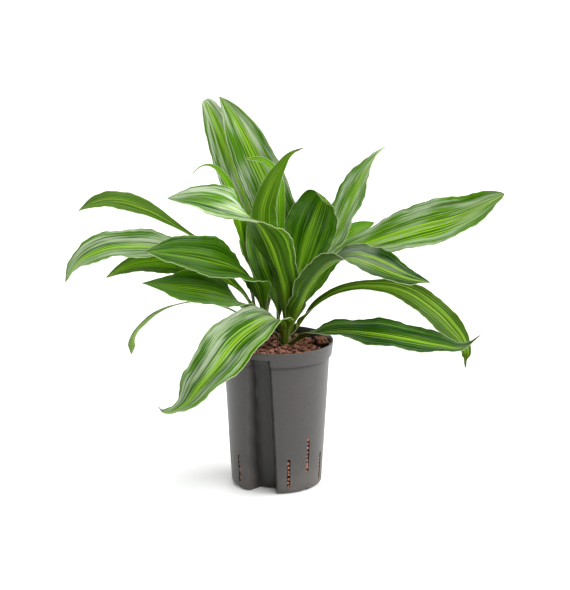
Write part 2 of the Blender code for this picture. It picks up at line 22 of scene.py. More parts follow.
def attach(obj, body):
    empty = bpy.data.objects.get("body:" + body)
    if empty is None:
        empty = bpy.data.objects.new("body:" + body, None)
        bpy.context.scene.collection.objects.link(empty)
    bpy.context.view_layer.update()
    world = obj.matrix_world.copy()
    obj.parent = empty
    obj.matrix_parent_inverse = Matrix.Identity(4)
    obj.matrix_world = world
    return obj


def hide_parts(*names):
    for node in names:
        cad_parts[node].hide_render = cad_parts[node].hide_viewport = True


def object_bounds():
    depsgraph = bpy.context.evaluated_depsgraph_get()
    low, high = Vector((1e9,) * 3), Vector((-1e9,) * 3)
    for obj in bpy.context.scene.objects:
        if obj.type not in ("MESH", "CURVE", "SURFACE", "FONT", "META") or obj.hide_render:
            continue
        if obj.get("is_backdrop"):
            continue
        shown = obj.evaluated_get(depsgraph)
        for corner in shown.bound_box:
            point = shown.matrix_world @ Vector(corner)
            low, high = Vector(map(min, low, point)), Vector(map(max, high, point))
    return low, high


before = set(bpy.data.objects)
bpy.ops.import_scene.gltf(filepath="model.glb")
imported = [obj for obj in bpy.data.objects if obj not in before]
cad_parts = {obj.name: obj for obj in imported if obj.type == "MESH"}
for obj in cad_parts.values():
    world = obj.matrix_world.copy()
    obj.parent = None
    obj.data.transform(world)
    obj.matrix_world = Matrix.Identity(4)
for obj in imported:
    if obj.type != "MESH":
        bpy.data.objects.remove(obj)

log = logging.getLogger("dracaena")
MM = 0.001
FILL_Z = 180.5
# The last name is each leaf's share of painted sheen.
LOOK_NAMES = ("lime", "warm", "tone", "spots", "sheen_share")

Material: TypeAlias = bpy.types.Material
Mesh: TypeAlias = bpy.types.Mesh
Socket: TypeAlias = bpy.types.NodeSocket
Thing: TypeAlias = bpy.types.Object
Number: TypeAlias = "Scalar | float"
Colour: TypeAlias = tuple[float, float, float, float]
Pair: TypeAlias = tuple[float, float]
Place: TypeAlias = tuple[float, float, float]
Spot: TypeAlias = tuple[Vector, float]
Array: TypeAlias = np.ndarray


def smooth_step(value: Array) -> Array:
    """Rise from 0 to 1 with level ends as value goes from 0 to 1."""
    value = np.clip(value, 0.0, 1.0)
    return value * value * (3.0 - 2.0 * value)


def between(ends: Pair, share: Array) -> Array:
    """The number that lies a share of the way from one end to the other."""
    return ends[0] + (ends[1] - ends[0]) * share


def wrapped(angle: Array) -> Array:
    """The same angle between -180 and 180 degrees."""
    return (angle + 180.0) % 360.0 - 180.0


def around(radius: float, bearing: float, z: float = 0.0) -> Vector:
    """The point at a distance from the upright axis, in a direction in degrees."""
    angle = math.radians(bearing)
    return Vector((radius * math.cos(angle), radius * math.sin(angle), z))


def polar(mesh: Mesh) -> tuple[Array, Array, Array]:
    """Distance from the upright axis, bearing and height of a mesh's points."""
    x, y, z = points_of(mesh).T
    return np.hypot(x, y), np.degrees(np.arctan2(y, x)), z


def facing(place: Place, target: Place) -> Euler:
    """Rotation of a lamp that stands at a place and shines at a target."""
    return (Vector(target) - Vector(place)).to_track_quat("-Z", "Y").to_euler()


# Shader building

class Scalar:
    """A number in a material, as the socket that carries it. Operators add Math nodes."""

    def __init__(self, paint: "Paint", socket: Socket) -> None:
        """Wrap an output socket of a material under construction."""
        self.paint = paint
        self.socket = socket

    def _math(self, operation: str, *operands: Number) -> "Scalar":
        """Add a Math node with its inputs in order."""
        node = self.paint.node("ShaderNodeMath", dict(enumerate(operands)), operation=operation)
        return Scalar(self.paint, node.outputs[0])

    def __add__(self, other: Number) -> "Scalar":
        """Sum."""
        return self._math("ADD", self, other)

    __radd__ = __add__

    def __sub__(self, other: Number) -> "Scalar":
        """Difference."""
        return self._math("SUBTRACT", self, other)

    def __rsub__(self, other: Number) -> "Scalar":
        """Difference from a plain number."""
        return self._math("SUBTRACT", other, self)

    def __mul__(self, other: Number) -> "Scalar":
        """Product."""
        return self._math("MULTIPLY", self, other)

    __rmul__ = __mul__

    def __abs__(self) -> "Scalar":
        """Size without sign."""
        return self._math("ABSOLUTE", self)

    def sine(self) -> "Scalar":
        """Sine of the number, in radians."""
        return self._math("SINE", self)

    def ramp(self, low: float, high: float) -> "Scalar":
        """Rise from 0 to 1 with level ends.

        Args:
            low: where the rise starts.
            high: where it ends; below low, the ramp falls instead.

        Returns:
            The ramp's height.
        """
        ends = (low, high, 0.0, 1.0) if low < high else (high, low, 1.0, 0.0)
        sockets = dict(zip(("From Min", "From Max", "To Min", "To Max"), ends), Value=self)
        node = self.paint.node("ShaderNodeMapRange", sockets, interpolation_type="SMOOTHSTEP")
        return Scalar(self.paint, node.outputs["Result"])


class Paint:
    """One material under construction."""

    def __init__(self, name: str) -> None:
        """Start an empty material.

        Args:
            name: the material's name.
        """
        self.material = bpy.data.materials.new(name)
        self.material.use_nodes = True
        self.tree = self.material.node_tree
        self.tree.nodes.clear()

    def node(self, kind: str, sockets: dict | None = None, **settings: object) -> bpy.types.Node:
        """Add a node.

        Args:
            kind: the node's type.
            sockets: values or links by the sockets' names, identifiers or places.
            settings: the node's properties, set before the sockets.

        Returns:
            The node.
        """
        made = self.tree.nodes.new(kind)
        for name, value in settings.items():
            setattr(made, name, value)
        for name, value in (sockets or {}).items():
            if isinstance(name, int):
                socket = made.inputs[name]
            else:
                socket = next(s for s in made.inputs if name in (s.identifier, s.name))
            value = getattr(value, "socket", value)
            if isinstance(value, Socket):
                self.tree.links.new(value, socket)
            else:
                socket.default_value = value
        return made

    def attribute(self, name: str) -> Scalar:
        """The number that the mesh holds under a name."""
        return Scalar(self, self.node("ShaderNodeAttribute", attribute_name=name).outputs["Fac"])

    def place(self) -> Socket:
        """The point's place on the object, in metres."""
        return self.node("ShaderNodeTexCoord").outputs["Object"]

    def axes(self) -> tuple[Scalar, ...]:
        """The point's x, y and z on the object, in metres."""
        node = self.node("ShaderNodeSeparateXYZ", {0: self.place()})
        return tuple(Scalar(self, socket) for socket in node.outputs)

    def vector(self, x: Number, y: Number, z: Number) -> Socket:
        """Join three numbers into a vector."""
        return self.node("ShaderNodeCombineXYZ", {0: x, 1: y, 2: z}).outputs[0]

    def noise(self, vector: Socket, scale: float = 1.0, detail: float = 2.0,
              roughness: float = 0.5) -> Scalar:
        """Soft random variation between about 0.2 and 0.8.

        Args:
            vector: where it is read.
            scale: how fine it is.
            detail: how many finer layers it has.
            roughness: how strong those are.

        Returns:
            The variation.
        """
        node = self.node("ShaderNodeTexNoise", {"Vector": vector, "Scale": scale,
                                                "Detail": detail, "Roughness": roughness})
        return Scalar(self, node.outputs["Fac"])

    def cells(self, vector: Socket, scale: float) -> Scalar:
        """Distance to the nearest of many scattered points."""
        node = self.node("ShaderNodeTexVoronoi", {"Vector": vector, "Scale": scale})
        return Scalar(self, node.outputs["Distance"])

    def coats(self, ground: Colour, *coats: tuple[Number, Colour]) -> Socket:
        """Lay colours over a ground, one after another.

        Args:
            ground: the lowest colour.
            coats: share and colour of each coat, from the lowest up.

        Returns:
            The colour that shows.
        """
        for share, colour in coats:
            node = self.node("ShaderNodeMix", {"Factor_Float": share, "A_Color": ground,
                                               "B_Color": colour}, data_type="RGBA")
            ground = next(s for s in node.outputs if s.identifier == "Result_Color")
        return ground

    def bump(self, height: Scalar, distance: float, strength: float = 1.0) -> Socket:
        """Turn a height into a bent normal.

        Args:
            height: the relief, from 0 to 1.
            distance: how high 1 is, in metres.
            strength: how much of the relief shows.

        Returns:
            The normal.
        """
        return self.node("ShaderNodeBump", {"Height": height, "Distance": distance,
                                            "Strength": strength}).outputs["Normal"]

    def finish(self, colour: Colour, roughness: Number, normal: Socket | None = None,
               specular: float = 0.5, see_through: float = 0.0) -> Material:
        """Close the material with its surface shader.

        Args:
            colour: the base colour.
            roughness: how dull the surface is.
            normal: the bent normal, if the surface has a relief.
            specular: how much the surface mirrors.
            see_through: share of the light that the surface passes on, scattered.

        Returns:
            The material.
        """
        sockets = {"Base Color": colour, "Roughness": roughness, "Specular IOR Level": specular}
        if normal:
            sockets["Normal"] = normal
        surface = self.node("ShaderNodeBsdfPrincipled", sockets)
        if see_through:
            glow = self.node("ShaderNodeBsdfTranslucent", {"Color": colour})
            surface = self.node("ShaderNodeMixShader", {0: see_through, 1: surface.outputs[0],
                                                        2: glow.outputs[0]})
        self.node("ShaderNodeOutputMaterial", {"Surface": surface.outputs[0]})
        return self.material


# Finishes

@dataclass(frozen=True)
class LeafFinish:
    """Satin striped leaf: green with lime streaks, a cream margin, a paler underside that also
    gets painted shade, and patches of painted sheen.
    """

    deep: Colour = (0.010, 0.070, 0.0, 1.0)
    green: Colour = (0.115, 0.335, 0.002, 1.0)
    lime: Colour = (0.42, 0.74, 0.035, 1.0)
    yellow: Colour = (0.15, 0.25, 0.001, 1.0)
    pale: Colour = (0.22, 0.32, 0.04, 1.0)
    painted_sheen: Colour = (0.70, 0.80, 0.57, 1.0)
    cream: Colour = (0.82, 0.88, 0.52, 1.0)
    base: Colour = (0.16, 0.23, 0.02, 1.0)
    brown: Colour = (0.13, 0.06, 0.02, 1.0)
    roughness: float = 0.31
    specular: float = 0.14
    relief: float = 0.0003
    see_through: float = 0.26

    def material(self) -> Material:
        """Make the material that all leaves share.

        Returns:
            The material, which reads each leaf's own look from its mesh.
        """
        paint = Paint("dracaena_leaf")
        along, across, edge, left, under, seed = map(
            paint.attribute, ("along", "across", "edge", "left", "under", "seed"))
        lime, warm, tone, spots, sheen_share = map(paint.attribute, LOOK_NAMES)
        side = abs(across)
        threads, bands, lines, patches = (
            paint.noise(paint.vector(along * run, across * turn, seed + shift), detail=detail)
            for run, turn, shift, detail in ((1.1, 19.0, 0.0, 1.5), (1.8, 4.5, 5.0, 1.0),
                                             (2.5, 33.0, 9.0, 1.0), (5.0, 4.0, 20.0, 2.0)))
        freckles = paint.cells(paint.vector(along * 30.0, across * 5.0, seed), 1.0)
        middle = side.ramp(0.75, 0.02)
        streak = threads + middle * 0.2 + lime * 0.09 + bands * 0.12 - 0.81
        streak = streak.ramp(0.0, 0.07) * side.ramp(0.97, 0.8)
        # The underside is darkened here as painted shade.
        shade = bands * 1.6 + lines * 1.5 + threads * 1.2 + tone * 0.6 - under * 0.3
        shade = (shade - 1.75).ramp(0.0, 1.0)
        # Painted sheen: pale patches in the colour that stand in for the leaf's gloss.
        sheen_patches = (patches * 1.7 + lines * 0.9 + threads * 0.3 - 1.25).ramp(0.0, 0.6)
        midrib = side.ramp(0.05, 0.01) * along.ramp(1.0, 0.5)
        colour = paint.coats(
            self.deep,
            (shade, self.green),
            (warm * (shade * 0.5 + 0.3), self.yellow),
            # painted sheen on the upper face
            (sheen_share * sheen_patches * (1.0 - under), self.painted_sheen),
            (streak * (lime * 0.5 + 0.4), self.lime),
            (midrib * 0.6, self.lime),
            (under * (lines * 0.2 + 0.05), self.pale),
            (along.ramp(0.2, 0.02) * 0.7, self.base),
            (edge.ramp(0.85, 0.3) * 0.6, self.cream),
            ((left + bands * 4.0).ramp(4.2, 2.2) * 0.7, self.brown),
            (freckles.ramp(0.24, 0.12) * spots * bands.ramp(0.42, 0.55), self.brown))
        veins = (across * 95.0 + threads * 5.0).sine() * 0.5 + 0.5
        grain = paint.noise(paint.place(), 900.0, 2.0)
        relief = veins * 0.4 + threads * 1.2 + lines * 0.8 + grain * 0.2
        roughness = threads * 0.16 + under * 0.16 + (self.roughness - 0.08)
        return paint.finish(colour, roughness, paint.bump(relief, self.relief), self.specular,
                            self.see_through)


@dataclass(frozen=True)
class PlasticFinish:
    """Matt moulded plastic, dusty near the foot, with scuffs and a painted highlight along the
    lip's top, and painted shade in the flutes, under the collar and inside.
    """

    grey: Colour = (0.061, 0.057, 0.055, 1.0)
    dust_and_highlight: Colour = (0.15, 0.135, 0.12, 1.0)
    painted_shade: Colour = (0.016, 0.015, 0.014, 1.0)
    roughness: float = 0.4
    specular: float = 0.3
    relief: float = 0.00012

    def material(self) -> Material:
        """Make the pot's material.

        Returns:
            The material, which reads from the mesh the lip's scuffs and painted highlight, and
            the painted shade.
        """
        paint = Paint("pot_plastic")
        height = paint.axes()[2]
        clouds = paint.noise(paint.place(), 22.0, 3.0)
        specks = paint.noise(paint.place(), 700.0, 2.0)
        dusty = height.ramp(0.05, 0.0) * clouds.ramp(0.35, 0.7) * 0.4
        mottled = dusty + clouds.ramp(0.5, 0.8) * 0.08 + specks.ramp(0.52, 0.72) * 0.2
        colour = paint.coats(
            self.grey,
            (mottled, self.dust_and_highlight),
            # Lighter band along the lip's top: scuffs and a painted highlight.
            (paint.attribute("worn") * clouds.ramp(0.3, 0.6) * 0.5, self.dust_and_highlight),
            # Painted shade in the flutes, under the collar and inside the pot.
            (paint.attribute("recess") * 0.75, self.painted_shade))
        roughness = clouds * 0.16 + dusty * 0.3 + (self.roughness - 0.08)
        return paint.finish(colour, roughness, paint.bump(specks, self.relief, 0.6),
                            self.specular)


@dataclass(frozen=True)
class ClayFinish:
    """Porous expanded clay, from rusty red to brown, with dusty high spots that also serve as
    painted highlights, and painted shade on each pebble's side away from the light.
    """

    red: Colour = (0.64, 0.26, 0.16, 1.0)
    brown: Colour = (0.19, 0.062, 0.038, 1.0)
    dust_and_highlight: Colour = (0.88, 0.58, 0.44, 1.0)
    shade: Colour = (0.012, 0.005, 0.004, 1.0)
    hollow_shade: Colour = (0.006, 0.003, 0.002, 1.0)
    hollow_shade_crust: Colour = (0.03, 0.012, 0.008, 1.0)
    relief: float = 0.0014
    hollow_relief: float = 0.002

    def material(self) -> Material:
        """Make the granules' material.

        Returns:
            The material, which reads each pebble's tone and painted shade from its mesh.
        """
        paint = Paint("clay_granules")
        pores = paint.cells(paint.place(), 900.0)
        crust = paint.noise(paint.place(), 420.0, 4.0, 0.7)
        colour = paint.coats(
            self.brown,
            (paint.attribute("tone") + crust * 0.9 - 0.45, self.red),
            # Pale dusty spots, brightened so that they also serve as painted highlights.
            (crust.ramp(0.55, 0.75) * 0.55, self.dust_and_highlight),
            (pores.ramp(0.35, 0.1) * 0.75, self.brown),
            # Painted shade on each pebble's side away from the light.
            (paint.attribute("low") * 0.92, self.shade))
        return paint.finish(colour, crust * 0.2 + 0.75,
                            paint.bump(pores * 0.7 + crust, self.relief))

    def dark(self) -> Material:
        """Make the shaded filling under the loose granules.

        Returns:
            The material.
        """
        paint = Paint("granules_in_shade")
        crust = paint.noise(paint.place(), 300.0, 3.0)
        # Near-black colours: painted shade between the granules.
        colour = paint.coats(self.hollow_shade, (crust, self.hollow_shade_crust))
        return paint.finish(colour, crust * 0.1 + 0.85, paint.bump(crust, self.hollow_relief))


@dataclass(frozen=True)
class StemFinish:
    """Green-brown stem with pale leaf scars."""

    green: Colour = (0.17, 0.22, 0.06, 1.0)
    brown: Colour = (0.17, 0.12, 0.055, 1.0)
    scar: Colour = (0.34, 0.33, 0.16, 1.0)
    fibre_rates: Place = (900.0, 900.0, 90.0)
    relief: float = 0.0004

    def material(self) -> Material:
        """Make the stems' material.

        Returns:
            The material, which reads the scars from the mesh.
        """
        paint = Paint("dracaena_stem")
        axes = paint.axes()
        stretched = (axis * rate for axis, rate in zip(axes, self.fibre_rates))
        fibre = paint.noise(paint.vector(*stretched), 1.0, 3.0)
        colour = paint.coats(
            self.brown,
            (fibre.ramp(0.3, 0.7), self.green),
            (axes[2].ramp(0.2, 0.175) * 0.6, self.brown),
            (paint.attribute("scar") * 0.7, self.scar))
        return paint.finish(colour, fibre * 0.2 + 0.45, paint.bump(fibre, self.relief))


@dataclass(frozen=True)
class FloorFinish:
    """Plain matt white floor."""

    white: Colour = (0.97, 0.97, 0.97, 1.0)
    roughness: float = 0.9

    def material(self) -> Material:
        """Make the floor's material."""
        return Paint("studio_floor").finish(self.white, self.roughness)


# Modelling by Blender's own tools

def hold(*things: Thing) -> None:
    """Select these objects alone and make the first one active.

    Args:
        things: the objects; with none, nothing is selected.
    """
    bpy.ops.object.select_all(action="DESELECT")
    for thing in things:
        thing.select_set(True)
    if things:
        bpy.context.view_layer.objects.active = things[0]


def add(tool: Callable, name: str, **settings: object) -> Thing:
    """Add an object.

    Args:
        tool: the operator that adds it.
        name: the object's name.
        settings: the operator's settings.

    Returns:
        The object.
    """
    hold()
    tool(**settings)
    bpy.context.object.name = name
    return bpy.context.object


@contextmanager
def editing() -> Iterator[None]:
    """Edit mode of the active object, entered with its whole mesh selected.

    Yields:
        Nothing; object mode comes back afterwards.
    """
    bpy.ops.object.mode_set(mode="EDIT")
    bpy.ops.mesh.select_all(action="SELECT")
    yield
    bpy.ops.object.mode_set(mode="OBJECT")


def modify(thing: Thing, kind: str, **settings: object) -> None:
    """Add a modifier and apply it.

    Args:
        thing: the object.
        kind: the modifier's type.
        settings: the modifier's settings.
    """
    hold(thing)
    modifier = thing.modifiers.new(kind.lower(), kind)
    for name, value in settings.items():
        setattr(modifier, name, value)
    bpy.ops.object.modifier_apply(modifier=modifier.name)


def points_of(mesh: Mesh) -> Array:
    """Read the mesh's points.

    Args:
        mesh: the mesh.

    Returns:
        A row for each point, in millimetres.
    """
    flat = np.empty(len(mesh.vertices) * 3)
    mesh.vertices.foreach_get("co", flat)
    return flat.reshape(-1, 3) / MM


def move_points(mesh: Mesh, points: Array) -> None:
    """Put the mesh's points at new places, in millimetres."""
    mesh.vertices.foreach_set("co", (points * MM).ravel())
    mesh.update()


def write_numbers(mesh: Mesh, **numbers: "Array | float") -> None:
    """Keep numbers for each point of the mesh, under the names that materials read.

    Args:
        mesh: the mesh.
        numbers: for each name a number for each point, or one for all.
    """
    for name, values in numbers.items():
        layer = mesh.attributes.get(name) or mesh.attributes.new(name, "FLOAT", "POINT")
        filled = np.full(len(mesh.vertices), values, dtype=np.float32)
        layer.data.foreach_set("value", filled)


def settle(thing: Thing, smooth_angle: float) -> None:
    """Apply an object's place to its mesh and smooth its gentle edges.

    Args:
        thing: the object.
        smooth_angle: edges sharper than this stay sharp, in degrees.
    """
    hold(thing)
    bpy.ops.object.transform_apply(location=True, rotation=True, scale=True)
    bpy.ops.object.shade_smooth_by_angle(angle=math.radians(smooth_angle))


def turned(name: str, profile: list[Pair], steps: int) -> Thing:
    """Turn a closed body: a disc that is extruded and resized ring by ring.

    Args:
        name: the object's name.
        profile: radius and height of each ring, from the underside's disc on.
        steps: points in each ring.

    Returns:
        The body.
    """
    radius, height = profile[0]
    body = add(bpy.ops.mesh.primitive_circle_add, name, vertices=steps,
               radius=radius * MM, fill_type="NGON", location=(0, 0, height * MM))
    bpy.ops.object.transform_apply(location=True, rotation=False, scale=False)
    with editing():
        for next_radius, next_height in profile[1:]:
            rise = (0.0, 0.0, (next_height - height) * MM)
            bpy.ops.mesh.extrude_region_move(TRANSFORM_OT_translate={"value": rise})
            growth = next_radius / radius
            bpy.ops.transform.resize(value=(growth, growth, 1.0), center_override=(0.0, 0.0, 0.0))
            radius, height = next_radius, next_height
        bpy.ops.mesh.select_all(action="SELECT")
        bpy.ops.mesh.normals_make_consistent(inside=False)
    return body


def join(name: str, things: list[Thing]) -> Thing:
    """Join objects into one.

    Args:
        name: the joined object's name.
        things: the objects; the first one's origin is kept.

    Returns:
        The joined object.
    """
    hold(*things)
    bpy.ops.object.join()
    things[0].name = name
    return things[0]


def hand_over(piece: Thing, nodes: tuple[str, ...], slot: str) -> None:
    """Hand over a finished piece: hide the nodes that it stands for and hang it on the root body.

    Args:
        piece: the finished piece.
        nodes: names of the nodes that it replaces.
        slot: a material slot's name; not used.
    """
    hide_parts(*nodes)
    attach(piece, "root")
    log.info("%s stands for %s with %d faces", piece.name, ", ".join(nodes),
             len(piece.data.polygons))


# Pot

@dataclass
class CulturePot:
    """Fluted culture pot with a collar, nine watering slots and three base notches."""

    finish: PlasticFinish = PlasticFinish()
    height: float = 195.0
    rim_radius: float = 75.0
    collar_foot_radius: float = 73.0
    collar_foot_z: float = 176.0
    body_top_radius: float = 69.8
    base_radius: float = 60.0
    base_rounding: float = 6.0
    base_flare: float = 0.35
    wall: float = 2.0
    floor: float = 5.0
    floor_rounding: float = 4.0
    # Width of the lighter band on the lip: scuffs and a painted highlight.
    worn_band: float = 0.9
    collar_shadow: Pair = (1.4, 2.6)
    floor_shadow: Pair = (0.45, 0.4)
    inside_shadow: Pair = (0.9, 0.8)
    steps: int = 288
    smooth_angle: float = 35.0
    flute_bearings: tuple[float, ...] = (251.25, 131.25, 11.25)
    flute_roof_z: float = 186.0
    flute_roof_slope: float = 0.6
    roof_wall: float = 1.8
    flute_depths: Pair = (12.0, 23.0)
    flute_halves: Pair = (13.1, 20.6)
    flute_side: float = 4.5
    flute_least_radius: float = 25.0
    lobe_bearings: tuple[float, ...] = (311.0, 191.0, 71.0)
    slot_width: float = 4.2
    slot_offset: float = 26.0
    slot_reach: Pair = (56.0, 34.0)
    mid_slot: Pair = (26.0, 74.0)
    side_slot: Pair = (9.0, 48.0)
    notch_width: float = 12.0
    notch_reach: Pair = (58.0, 20.0)
    notch: Pair = (-4.0, 3.2)
    corner_share: float = 0.3
    pebble_room: float = 0.4

    def wall_radius(self, z: float) -> float:
        """Outside radius of the tapering body at a height."""
        return between((self.base_radius, self.body_top_radius), z / self.collar_foot_z)

    def outer_profile(self) -> list[Pair]:
        """Rings of the outside, from the underside to the lip.

        Returns:
            Radius and height of each ring.
        """
        rings = []
        for turn in np.linspace(0.0, math.pi / 2.0, 7):
            out = self.base_rounding * math.sin(turn)
            up = self.base_rounding * (1.0 - math.cos(turn))
            flare = self.base_flare * out / self.base_rounding
            rings.append((self.base_radius - self.base_rounding + out + flare, up))
        rings += [(self.wall_radius(z), z) for z in np.linspace(14.0, 170.0, 21)]
        for radius, z, steps in (
                (self.body_top_radius, self.collar_foot_z, ((-0.05, -1.2), (0.2, -0.6))),
                (self.collar_foot_radius, self.collar_foot_z,
                 ((-0.9, -0.25), (-0.3, 0.1), (0.0, 0.8), (0.4, 4.0))),
                (self.collar_foot_radius, self.flute_roof_z, ((0.9, -1.5),)),
                (self.rim_radius, self.flute_roof_z,
                 ((-0.9, -self.flute_roof_slope), (-0.8, 0.0))),
                (self.rim_radius, self.height,
                 ((-0.45, -4.0), (-0.12, -1.4), (-0.1, -0.7), (-0.35, -0.2), (-0.7, 0.0)))):
            rings += [(radius + out, z + up) for out, up in steps]
        return rings

    def inner_profile(self) -> list[Pair]:
        """Rings of the inside, from the lip down to the floor.

        Returns:
            Radius and height of each ring.
        """
        lip = self.rim_radius - self.wall
        inside = self.collar_foot_radius - self.wall - 0.4
        roof = self.flute_roof_z + self.roof_wall
        rings = [(lip + 0.9, self.height), (lip + 0.5, self.height - 0.25),
                 (lip + 0.3, self.height - 0.8), (inside + 0.6, roof),
                 (inside + 0.5, roof - self.flute_roof_slope),
                 (inside, self.collar_foot_z + 1.6)]
        rings += [(self.wall_radius(z) - self.wall, z) for z in
                  (self.collar_foot_z - 2.0, 120.0, 60.0, self.floor + self.floor_rounding)]
        rings.append((self.wall_radius(self.floor) - self.wall - self.floor_rounding, self.floor))
        return rings

    def flute_size(self, ends: Pair, z: Array) -> Array:
        """A measure of the flutes at a height, from those at their roof and at the foot."""
        return between(ends, np.clip((self.flute_roof_z - z) / self.flute_roof_z, 0.0, 1.0))

    def pressed(self, bearing: Array, z: Array, roof: Array) -> Array:
        """How far the flutes reach in.

        Args:
            bearing: bearings in degrees.
            z: heights.
            roof: height at which the flutes end.

        Returns:
            The depth of the flutes, in millimetres.
        """
        half = self.flute_size(self.flute_halves, z)
        shape = np.zeros_like(z)
        for centre in self.flute_bearings:
            away = np.abs(wrapped(bearing - centre))
            shape = np.maximum(shape, smooth_step((half - away) / self.flute_side))
        under_roof = np.clip((roof - z) / self.flute_roof_slope, 0.0, 1.0)
        return self.flute_size(self.flute_depths, z) * shape * under_roof

    def press(self, body: Thing, roof: float, lift_inside: float = 0.0,
              skin: float = 1.0) -> None:
        """Press the three flutes into a turned body.

        Args:
            body: the body.
            roof: height at which the flutes end.
            lift_inside: how much higher they end on the inner skin.
            skin: points this far inside the pot's outline count as the inner skin.
        """
        radius, bearing, z = polar(body.data)
        outline = np.interp(z, (0.0, self.collar_foot_z - 0.5, self.collar_foot_z, self.height),
                            (self.base_radius - self.base_rounding, self.body_top_radius,
                             self.collar_foot_radius, self.rim_radius))
        roofs = np.where(radius < outline - skin, roof + lift_inside, roof)
        outward = smooth_step((radius - self.flute_least_radius) / self.flute_least_radius)
        depth = self.pressed(bearing, z, roofs) * outward
        scale = (radius - depth) / np.maximum(radius, 0.01)
        moved = points_of(body.data)
        moved[:, :2] *= scale[:, None]
        move_points(body.data, moved)

    def holds(self, middle: Vector, size: float) -> bool:
        """Whether a ball stays inside the pot's wall.

        Args:
            middle: the ball's middle.
            size: its radius.

        Returns:
            True if it does.
        """
        radius = math.hypot(middle.x, middle.y)
        spread = math.degrees(size / max(radius, size)) * np.linspace(-1.0, 1.0, 5)
        bearing = math.degrees(math.atan2(middle.y, middle.x)) + spread
        z = np.full_like(spread, middle.z - 0.5 * size)
        depth = self.pressed(bearing, z, self.flute_roof_z + 2.0).max()
        inside = self.collar_foot_radius if middle.z > self.collar_foot_z else (
            self.wall_radius(middle.z))
        return radius + size < inside - self.wall - depth - self.pebble_room

    def cutter(self, bearing: float, reach: Pair, width: float, ends: Pair) -> Thing:
        """Round-cornered bar for one opening.

        Args:
            bearing: the way it points, in degrees.
            reach: its middle's distance from the axis, and its length.
            width: its size across.
            ends: its lower and upper end.

        Returns:
            The bar.
        """
        radius, length = reach
        low, high = ends
        middle = around(radius, bearing, (low + high) / 2.0)
        bar = add(bpy.ops.mesh.primitive_cube_add, "opening", size=1.0,
                  location=middle * MM, rotation=(0, 0, math.radians(bearing)))
        bar.scale = Vector((length, width, high - low)) * MM
        bpy.ops.object.transform_apply(location=False, rotation=False, scale=True)
        with editing():
            bpy.ops.mesh.bevel(offset=width * self.corner_share * MM, segments=2, affect="EDGES")
        return bar

    def slots(self, lobe: float) -> tuple[tuple[float, Pair], ...]:
        """Bearing and ends of the three watering slots of a lobe."""
        return ((lobe, self.mid_slot), (lobe - self.slot_offset, self.side_slot),
                (lobe + self.slot_offset, self.side_slot))

    def openings(self) -> Thing:
        """All slots and notches as one cutter.

        Returns:
            The cutter.
        """
        bars = []
        for lobe in self.lobe_bearings:
            bars += [self.cutter(bearing, self.slot_reach, self.slot_width, ends)
                     for bearing, ends in self.slots(lobe)]
            bars.append(self.cutter(lobe, self.notch_reach, self.notch_width, self.notch))
        return join("pot_openings", bars)

    def recess(self, pot: Thing) -> Array:
        """How much painted shade each point gets: wholly so on the flutes' floors and inside, and
        in a band under the collar.

        Args:
            pot: the finished pot.

        Returns:
            A share from 0 to 1 for each point.
        """
        radius, bearing, z = polar(pot.data)
        depth = self.pressed(bearing, z, self.flute_roof_z)
        outside = np.where(z > self.collar_foot_z, self.collar_foot_radius, self.wall_radius(z))
        sunk = outside - radius - depth
        start, run = self.inside_shadow
        inside = smooth_step((sunk - start) / run) * (z > 2.0 * self.base_rounding)
        drop, reach = self.collar_shadow
        under_collar = smooth_step(1.0 - np.abs(z - self.collar_foot_z + drop) / reach)
        start, run = self.floor_shadow
        floor = smooth_step((depth / self.flute_size(self.flute_depths, z) - start) / run)
        return np.maximum.reduce((floor, under_collar, inside))

    def build(self) -> None:
        """Model and dress the pot."""
        pot = turned("culture_pot", self.outer_profile() + self.inner_profile(), self.steps)
        self.press(pot, self.flute_roof_z, lift_inside=self.roof_wall)
        cutter = self.openings()
        modify(pot, "BOOLEAN", operation="DIFFERENCE", solver="EXACT", object=cutter)
        bpy.data.objects.remove(cutter, do_unlink=True)
        z = points_of(pot.data)[:, 2]
        # The lip's top is painted lighter: scuffs and a painted highlight.
        worn = smooth_step(1.0 - np.abs(z - self.height) / self.worn_band)
        write_numbers(pot.data, worn=worn, recess=self.recess(pot))
        settle(pot, self.smooth_angle)
        pot.data.materials.clear()
        pot.data.materials.append(self.finish.material())
        hand_over(pot, ("pot",), "pot_plastic")


# Granules

